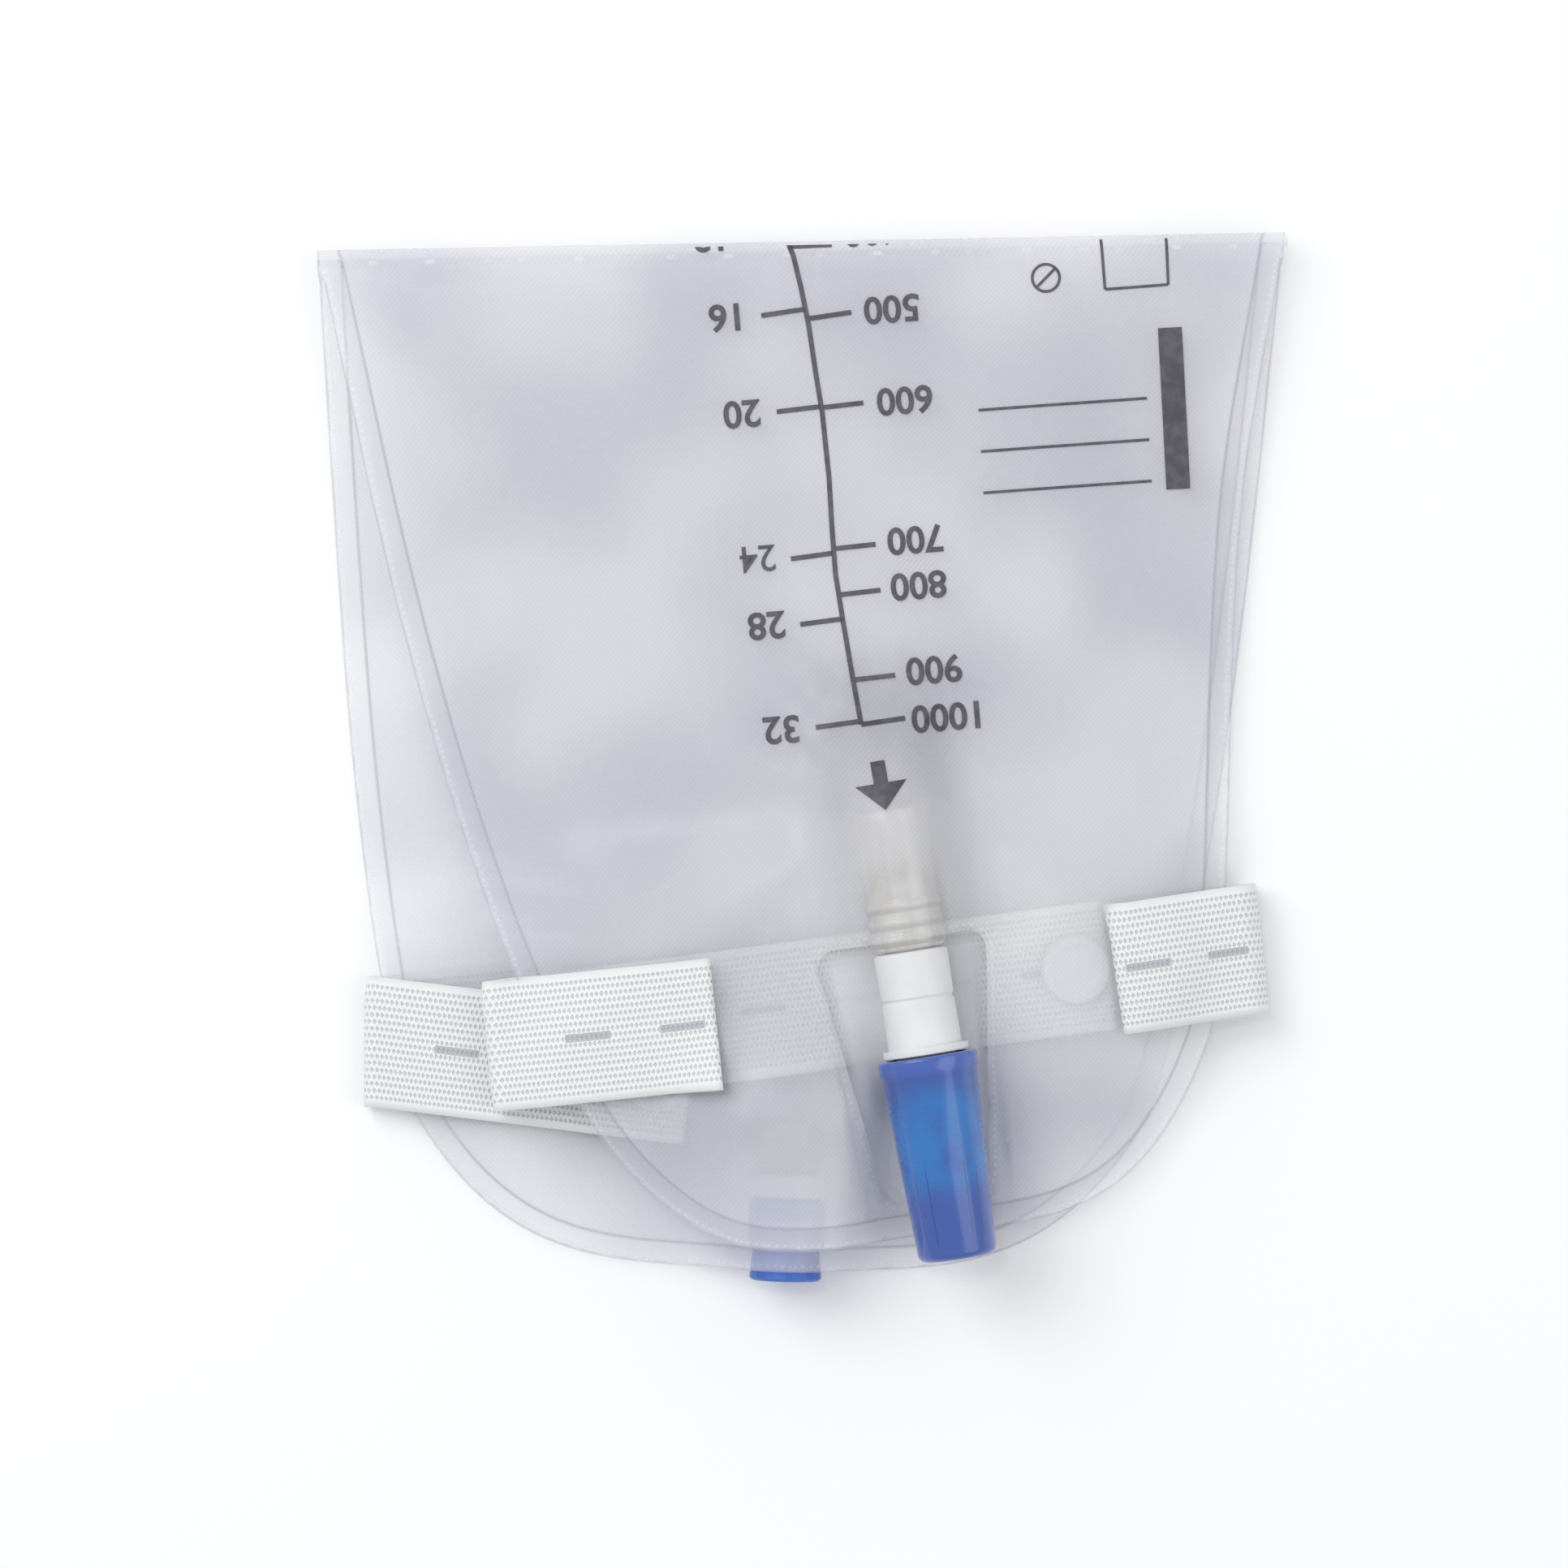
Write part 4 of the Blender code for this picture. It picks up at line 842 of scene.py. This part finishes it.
def clearFinish(name, ribFront=None):
    # Clear tube with a slight yellow tint, a painted shade between its ribs and painted highlights in
    # lengthwise streaks
    made = Finish(name, IOR=1.5, Coat_Weight=0.6, Coat_Roughness=0.05)
    place = made.place()
    cloud = made.noise(place, 0.2, 1)
    tint = made.clouded(cloud, port["dull"], port["bright"])
    if ribFront is not None:
        x, y, z = made.parts(place)
        stretched = made.add("CombineXYZ", None, {0: x, 1: y, 2: z * port["stretch"]})
        # Painted highlights: lighter lengthwise streaks
        paintedStreakHighlight = made.ramp(made.noise(stretched, 0.5, 1), *port["streakRange"])
        tint = made.blend(paintedStreakHighlight * port["streakShade"], tint, port["paintedStreakHighlight"])
        # Painted shade: darker between the ribs
        beat = z / port["pitch"] - (ribFront / port["pitch"] + port["shadowShift"])
        paintedRibShadow = made.ramp(beat.wave(), *port["shadowRange"])
        ribBack = ribFront - port["pitch"] * port["ribs"]
        ribbed = made.ramp(z, ribBack - port["shadowFade"], ribBack)
        tint = made.blend(paintedRibShadow * ribbed * port["shadowShade"], tint, port["shadow"])
    made.feed("Base Color", tint)
    made.feed("Alpha", port["haze"] + cloud * port["hazeCloud"])
    made.feed("Roughness", 0.1 + cloud * 0.12)
    made.relief(made.noise(place, 0.5, 1), strength=0.3, depth=0.2)
    return made.material


clearTube = clearFinish("clearTubeVinyl")


def portProfile(front, depth):
    # Ribs below the mouth, a plain back end, and a socket for the connector's spigot
    outer = port["radius"]
    back = front - port["length"]
    profile = [(outer - port["cut"], front), (outer, front - port["cut"])]
    for rib in range(port["ribs"]):
        crest = front - port["pitch"] * (rib + port["firstRib"])
        for step in range(port["ribSteps"] + 1):
            share = step / port["ribSteps"] * 2 - 1
            bulge = port["rib"] * math.cos(share * math.pi / 2) ** port["ribPower"]
            profile.append((outer + bulge, crest - share * port["pitch"] * port["ribHalf"]))
    profile += [
        (outer, back), (port["bore"], back), (port["bore"], front - depth),
        (port["socket"], front - depth), (port["socket"], front),
    ]
    return profile


def makePort():
    front = -2 * connector["gap"] - connector["length"]
    profile = portProfile(front, connector["spigotLength"] + connector["gap"])
    finish = clearFinish("ribbedTubeVinyl", front)
    turnedPiece("inletPort", profile, finish, "inlet_port", "bag", closed=True)


valve = {
    "bright": shade(0.05, 0.17, 0.6), "deep": shade(0.04, 0.12, 0.46), "seal": shade(0.45, 0.45, 0.46),
}


def nozzleFinish():
    made = Finish("blueValvePlastic", IOR=1.48)
    place = made.place()
    cloud = made.noise(place, 0.15, 3)
    made.feed("Base Color", made.clouded(cloud, valve["bright"], valve["deep"]))
    made.feed("Roughness", 0.32 + made.noise(place, 1.2, 3) * 0.12)
    made.relief(made.noise(place, 2.0, 2), strength=0.25, depth=0.1)
    return made.material


def dressSolids():
    # The valve's and the buttons' CAD solids have their true shape, and get their finish
    rubber = Finish("sealRubber", Base_Color=valve["seal"])
    place = rubber.place()
    rubber.feed("Roughness", 0.5 + rubber.noise(place, 1.5, 2) * 0.2)
    rubber.relief(rubber.noise(place, 3.0, 2), strength=0.2, depth=0.1)
    finishes = {
        "valve_nozzle": nozzleFinish(), "valve_body": white, "valve_seal": rubber.material,
        "outlet_port": clearTube, "lower_strap_button": white, "upper_strap_button": white,
        "lower_strap_button_washer": white, "upper_strap_button_washer": white,
    }
    for node, finish in finishes.items():
        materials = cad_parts[node].data.materials
        materials.clear()
        materials.append(finish)


makeCap()
makeConnector()
makePort()
dressSolids()
print("fittings turned")


# Straps

strap = {
    "width": 20.0, "thick": 1.0, "shell": 0.9,
    "row": 1.3, "columns": 7, "loopRows": 12, "leanFade": 15, "smoothing": 5, "restHeight": 4,
    "slot": 6.6, "slotWidth": 0.9, "pitch": 14.6, "first": 1.9, "mostSlots": 16,
    "clear": 1.5,  # from a slot to the end of its run
    "extra": {"lower_strap": [14.1], "upper_strap": []},  # slots that lie in a loop
    "stitch": 0.74, "course": 1.06, "slant": 0.16, "selvedge": 1.5, "selvedgeEnd": 1.0,
    "holeRange": (1.05, 1.32), "holeShade": 0.62, "fibreShade": 0.14,
    # The gap colour is painted shade in the open stitches; the slot colour is painted shade for the slots
    "thread": shade(0.79, 0.805, 0.8), "gap": shade(0.5, 0.53, 0.55),
    "slotShade": shade(0.47, 0.49, 0.52), "slotFade": 0.25,
    "lower": [  # start, end, and whether the run lies on top
        ((48.1, -33.0), (67.7, -30.1), True), ((67.7, -30.1), (-65.8, -44.3), False),
        ((-65.8, -44.3), (-17.1, -50.1), True),
    ],
    "upper": [((-13.1, -41.1), (-46.4, -44.7), True), ((-46.4, -44.7), (47.4, -32.3), False)],
}


def weaveFinish():
    # Knitted elastic: staggered rows of small open stitches and a closer edge on both sides. The
    # stitches' openings and the slots are not cut: they are painted darker, a painted shade
    made = Finish("wovenElastic", Sheen_Weight=0.25, Sheen_Roughness=0.5)
    across, along = made.layer("ribbon")
    slotGap, _ = made.layer("slots")
    stitch = along / strap["stitch"]
    course = across / strap["course"] / 2
    rib = (across / strap["course"]).wave()
    slant = rib * strap["slant"]
    first = (stitch + slant).wave() * 0.5 + course.wave()
    second = (stitch + slant + 0.5).wave() * 0.5 + (course + 0.5).wave()
    half = strap["width"] / 2
    edge = made.ramp(across.size(), half - strap["selvedge"], half - strap["selvedgeEnd"])
    holes = made.ramp(first.most(second), *strap["holeRange"]) * (1 - edge)
    # Painted shade: a grey bar stands in for each slot's opening
    slot = 1 - made.ramp(slotGap, 0, strap["slotFade"])
    fibre = made.noise(made.place(), 3.0, 1)
    # Painted shade in the open stitches, and fibres darker at random
    paintedHoleShadeAndFibre = holes * strap["holeShade"] + (1 - fibre) * strap["fibreShade"]
    thread = made.blend(paintedHoleShadeAndFibre, strap["thread"], strap["gap"])
    made.feed("Base Color", made.blend(slot, thread, strap["slotShade"]))
    made.feed("Roughness", 0.7 + fibre * 0.2)
    height = rib * 0.05 - holes * 0.6 + edge * 0.1 - slot * 0.5
    made.relief(height, strength=0.9, depth=0.3)
    return made.material


def foldLean(ahead, side, other):
    # How far a row leans along its run, for each unit across, to lie on the fold line
    apart = ahead - other
    fold = Vector((-apart.y, apart.x))
    return fold.dot(ahead) / fold.dot(side)


def strapRun(node, start, end, above, leans, side, columns, stops):
    # Rows of points along one straight run, laid on the run's CAD solid
    ahead = (end - start).normalized()
    length = (end - start).length
    thick = strap["thick"] / 2 * mm
    stations = []
    for near, far in zip(stops, stops[1:]):
        count = max(1, math.ceil((far - near) / strap["row"]))
        stations += [near + (far - near) * k / count for k in range(count)]
    stations.append(length)
    rows = []
    for station in stations:
        lean = leans[0] * (1 - ease(station / strap["leanFade"]))
        lean += leans[1] * (1 - ease((length - station) / strap["leanFade"]))
        points = []
        for across in columns:
            spot = start + ahead * (station + across * lean) + side * across
            z = surfaceZ(node, spot * mm, above)
            if z is None and rows:
                z = rows[-1][len(points)].z + (thick if above else -thick)
            elif z is None:
                z = strap["restHeight"] * mm
            points.append(Vector((spot.x * mm, spot.y * mm, z - thick if above else z + thick)))
        rows.append(points)
    for _ in range(strap["smoothing"]):
        levels = [[p.z for p in points] for points in rows]
        for k in range(len(rows)):
            for j in range(len(columns)):
                around = [
                    levels[max(k - 1, 0)][j], levels[min(k + 1, len(rows) - 1)][j],
                    levels[k][max(j - 1, 0)], levels[k][min(j + 1, len(columns) - 1)],
                ]
                rows[k][j].z = levels[k][j] * 0.5 + sum(around) / 8
    return rows, stations


def turnedLoop(old, new, away):
    # Rows round the half circle between the last row of one run and the first of the next
    loop = []
    for step in range(1, strap["loopRows"]):
        turn = math.pi * step / strap["loopRows"]
        share = (1 - math.cos(turn)) / 2
        loop.append([
            a.lerp(b, share) + away * abs(b.z - a.z) / 2 * math.sin(turn) for a, b in zip(old, new)
        ])
    return loop


def ribbonRows(node, runs, columns):
    # A ribbon along straight runs that turns over between them; its slots keep one pitch
    rows, travels, slotted = [], [], list(strap["extra"][node])
    travelled = 0.0
    ways = [(Vector(end) - Vector(start)).normalized() for start, end, above in runs]
    for index, (start, end, above) in enumerate(runs):
        start, end = Vector(start), Vector(end)
        ahead = ways[index]
        length = (end - start).length
        side = Vector((-ahead.y, ahead.x)) * (1 if index % 2 == 0 else -1)
        leans = [
            foldLean(ahead, side, ways[index - 1]) if index else 0,
            foldLean(ahead, side, ways[index + 1]) if index + 1 < len(ways) else 0,
        ]
        if index:
            first, _ = strapRun(node, start, end, above, leans, side, columns, [0.0, length])
            away = (ways[index - 1] - ahead).normalized().to_3d()
            loop = turnedLoop(rows[-1], first[0], away)
            bend = abs(first[0][0].z - rows[-1][0].z) * math.pi / 2 / mm
            travels += [travelled + bend * (k + 1) / strap["loopRows"] for k in range(len(loop))]
            travelled += bend
            rows += loop
        stops = {0.0, length}
        for number in range(strap["mostSlots"]):
            edge = strap["first"] + number * strap["pitch"] - travelled
            if strap["clear"] < edge < length - strap["slot"] - strap["clear"]:
                stops.update((edge, edge + strap["slot"]))
                slotted.append(travelled + edge)
        laid, stations = strapRun(node, start, end, above, leans, side, columns, sorted(stops))
        rows += laid
        travels += [travelled + station for station in stations]
        travelled += length
    return rows, travels, slotted


def strapPiece(name, node, runs, finish):
    half = strap["width"] / 2
    slot = strap["slotWidth"] / 2
    count = strap["columns"]
    columns = [edge + (half - slot) * k / count for edge in (-half, slot) for k in range(count + 1)]
    rows, travels, slotted = ribbonRows(node, runs, columns)
    bm = bmesh.new()
    ribbon = bm.loops.layers.uv.new("ribbon")
    slots = bm.loops.layers.uv.new("slots")
    verts = [[bm.verts.new(point) for point in points] for points in rows]
    for k in range(len(rows) - 1):
        for j in range(len(columns) - 1):
            corners = ((k, j), (k, j + 1), (k + 1, j + 1), (k + 1, j))
            face = bm.faces.new([verts[row][column] for row, column in corners])
            for loop, (row, column) in zip(face.loops, corners):
                place = travels[row]
                past = min(max(start - place, place - start - strap["slot"], 0) for start in slotted)
                beside = max(0, abs(columns[column]) - slot)
                loop[ribbon].uv = (columns[column] / perUv, place / perUv)
                loop[slots].uv = (max(past, beside) / perUv, 0)
    bmesh.ops.recalc_face_normals(bm, faces=bm.faces)
    piece = pieceFrom(bm, name, finish)
    shell = piece.modifiers.new("Webbing", "SOLIDIFY")
    shell.thickness = strap["thick"] * strap["shell"] * mm
    shell.offset = 0
    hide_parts(node)
    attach(piece, "bag")


weave = weaveFinish()
strapPiece("lowerStrap", "lower_strap", strap["lower"], weave)
strapPiece("upperStrap", "upper_strap", strap["upper"], weave)
print("straps laid")


# Print on the inlet half: a plain scale and simple marks

ink = {
    "dark": shade(0.05, 0.045, 0.062), "pale": shade(0.09, 0.085, 0.105), "haze": 0.9,
    "lift": 0.2, "cell": 0.9, "merge": 1e-4, "foldGap": 0.7, "line": 0.78, "thin": 0.45,
    "numeral": 4.3, "emHeight": 1.36, "numeralTilt": 4.7,
    "bold": 0.030, "light": 0.006,  # a 4 would fill up if it were bold
    # Places from here on are photo pixels
    "axis": [
        (970, 296), (977, 313), (986.5, 352), (996.5, 401), (1005.5, 462), (1013, 507), (1021.5, 588),
        (1025, 648), (1029.5, 707), (1038, 761), (1050.5, 834), (1061, 893),
    ],
    "ticks": [
        ((971, 303), (1025, 300.5)), ((995, 392.5), (1049, 384.5)), ((1013, 502), (1064, 496)),
        ((1028, 676), (1079, 670.5)), ((1034, 733), (1085, 727)), ((1051, 838), (1103, 832)),
        ((1061, 893), (1115, 885)), ((992, 380.5), (938, 388.5)), ((1013, 500.5), (957, 507)),
        ((1026, 681.5), (974.5, 688.5)), ((1038, 762.5), (986, 769.5)), ((1060, 889), (1005, 896.5)),
    ],
    "numerals": [
        ("400", (1074, 283.5)), ("500", (1099, 378.5)), ("600", (1115, 491)), ("700", (1128, 663)),
        ("800", (1132, 719.5)), ("900", (1151, 823.5)), ("1000", (1169, 881.5)),
        ("12", (875, 290.5)), ("16", (896, 389)), ("20", (914, 508)), ("24", (933.5, 686.5)),
        ("28", (944.5, 769)), ("32", (963, 897.5)),
    ],
    "bar": ((1442, 403), (1453, 602)), "barWidth": 3.7,
    "box": [(1356, 280), (1362, 356), (1440, 350), (1437, 276)],
    "ring": (1289, 342), "ringRadius": 2.1, "ringSteps": 40, "slash": 0.8,
    "arrow": ((1080, 938), (1090, 998)), "arrowWidth": 8.0, "arrowNeck": 0.45, "arrowStem": 0.14,
    "writeLines": [((1212, 607), (1420, 592)), ((1209, 556), (1417, 541)), ((1206, 505), (1414, 490))],
}
pixel = {"x": 988, "y": 931, "perMillimetre": 8}


def spotOf(x, y):
    # A photo pixel as a plan point in metres
    return Vector((x - pixel["x"], pixel["y"] - y)) / pixel["perMillimetre"] * mm


filmSurface = treeOf(printedFilm.data)


def cutInk(bm, spot, normal, clear=False):
    bmesh.ops.bisect_plane(
        bm, geom=bm.verts[:] + bm.edges[:] + bm.faces[:], dist=ink["merge"] * mm,
        plane_co=spot, plane_no=normal, clear_outer=clear,
    )


def layInk(bm):
    # Cuts flat shapes off at the fold, splits them finely, and lays every point on the printed film
    turn = math.radians(bag["foldTurn"])
    past = Vector((-math.sin(turn), math.cos(turn)))
    cut = (foldPlace - past * ink["foldGap"]) * mm
    cutInk(bm, cut.to_3d(), past.to_3d(), clear=True)
    cell = ink["cell"] * mm
    for direction in (Vector((1, 0, 0)), Vector((0, 1, 0))):
        ends = [v.co.dot(direction) for v in bm.verts]
        for k in range(math.floor(min(ends) / cell), math.ceil(max(ends) / cell)):
            cutInk(bm, direction * k * cell, direction)
    missed = set()
    for vert in bm.verts:
        above = Vector((vert.co.x, vert.co.y, cast["height"] * mm))
        hit = filmSurface.ray_cast(above, Vector((0, 0, -1)))
        if hit[0] is None:
            missed.add(vert)
        else:
            vert.co.z = hit[0].z + ink["lift"] * mm
    bmesh.ops.delete(bm, geom=list(missed), context="VERTS")


def addBar(bm, start, end, width):
    run = (end - start).normalized()
    side = Vector((-run.y, run.x)) * width * mm / 2
    corners = [start - side, end - side, end + side, start + side]
    bm.faces.new([bm.verts.new(corner.to_3d()) for corner in corners])


def addNumeral(bm, text, centre, height):
    # A plain numeral, upside down like the rest of the print
    curve = bpy.data.curves.new("numeral", "FONT")
    curve.body = text
    curve.align_x = curve.align_y = "CENTER"
    curve.size = height * ink["emHeight"] * mm
    curve.offset = ink["light" if "4" in text else "bold"] * height * mm
    curve.resolution_u = 4
    holder = bpy.data.objects.new("numeral", curve)
    mesh = bpy.data.meshes.new_from_object(holder)
    turn = Matrix.Rotation(math.radians(180 + ink["numeralTilt"]), 4, "Z")
    mesh.transform(Matrix.Translation((centre.x, centre.y, 0)) @ turn)
    bm.from_mesh(mesh)
    bpy.data.meshes.remove(mesh)
    bpy.data.objects.remove(holder)
    bpy.data.curves.remove(curve)


def addArrow(bm, tail, tip, width):
    run = (tip - tail).normalized()
    barb = Vector((-run.y, run.x)) * width * mm / 2
    stem = Vector((-run.y, run.x)) * width * mm * ink["arrowStem"]
    neck = tail.lerp(tip, ink["arrowNeck"])
    corners = [tail - stem, neck - stem, neck - barb, tip, neck + barb, neck + stem, tail + stem]
    bm.faces.new([bm.verts.new(corner.to_3d()) for corner in corners])


def addRing(bm, centre, radius, width):
    inner, outer = radius - width / 2, radius + width / 2
    steps = ink["ringSteps"]
    for k in range(steps):
        corners = []
        for turn, size in ((k, inner), (k + 1, inner), (k + 1, outer), (k, outer)):
            spot = centre + towards(2 * math.pi * turn / steps) * size * mm
            corners.append(bm.verts.new(spot.to_3d()))
        bm.faces.new(corners)


def inkFinish():
    made = Finish("greyInk", IOR=1.5)
    cloud = made.noise(made.place(), 0.6, 3)
    made.feed("Base Color", made.clouded(cloud, ink["dark"], ink["pale"]))
    made.feed("Roughness", 0.4 + cloud * 0.15)
    made.feed("Alpha", ink["haze"] + cloud * (1 - ink["haze"]))
    return made.material


def addPath(bm, places, width):
    spots = [spotOf(*place) for place in places]
    for near, far in zip(spots, spots[1:]):
        addBar(bm, near, far, width)


def makePrint():
    bm = bmesh.new()
    for places in [ink["axis"], *ink["ticks"]]:
        addPath(bm, places, ink["line"])
    for text, place in ink["numerals"]:
        addNumeral(bm, text, spotOf(*place), ink["numeral"])
    addPath(bm, ink["bar"], ink["barWidth"])
    addPath(bm, ink["box"], ink["thin"])
    centre = spotOf(*ink["ring"])
    addRing(bm, centre, ink["ringRadius"], ink["thin"])
    slant = towards(ink["slash"]) * ink["ringRadius"] * mm
    addBar(bm, centre - slant, centre + slant, ink["thin"])
    addArrow(bm, *(spotOf(*place) for place in ink["arrow"]), ink["arrowWidth"])
    for places in ink["writeLines"]:
        addPath(bm, places, ink["thin"])
    layInk(bm)
    piece = pieceFrom(bm, "scalePrint", inkFinish(), smooth=False)
    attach(piece, "bag")


makePrint()
print("scale printed")
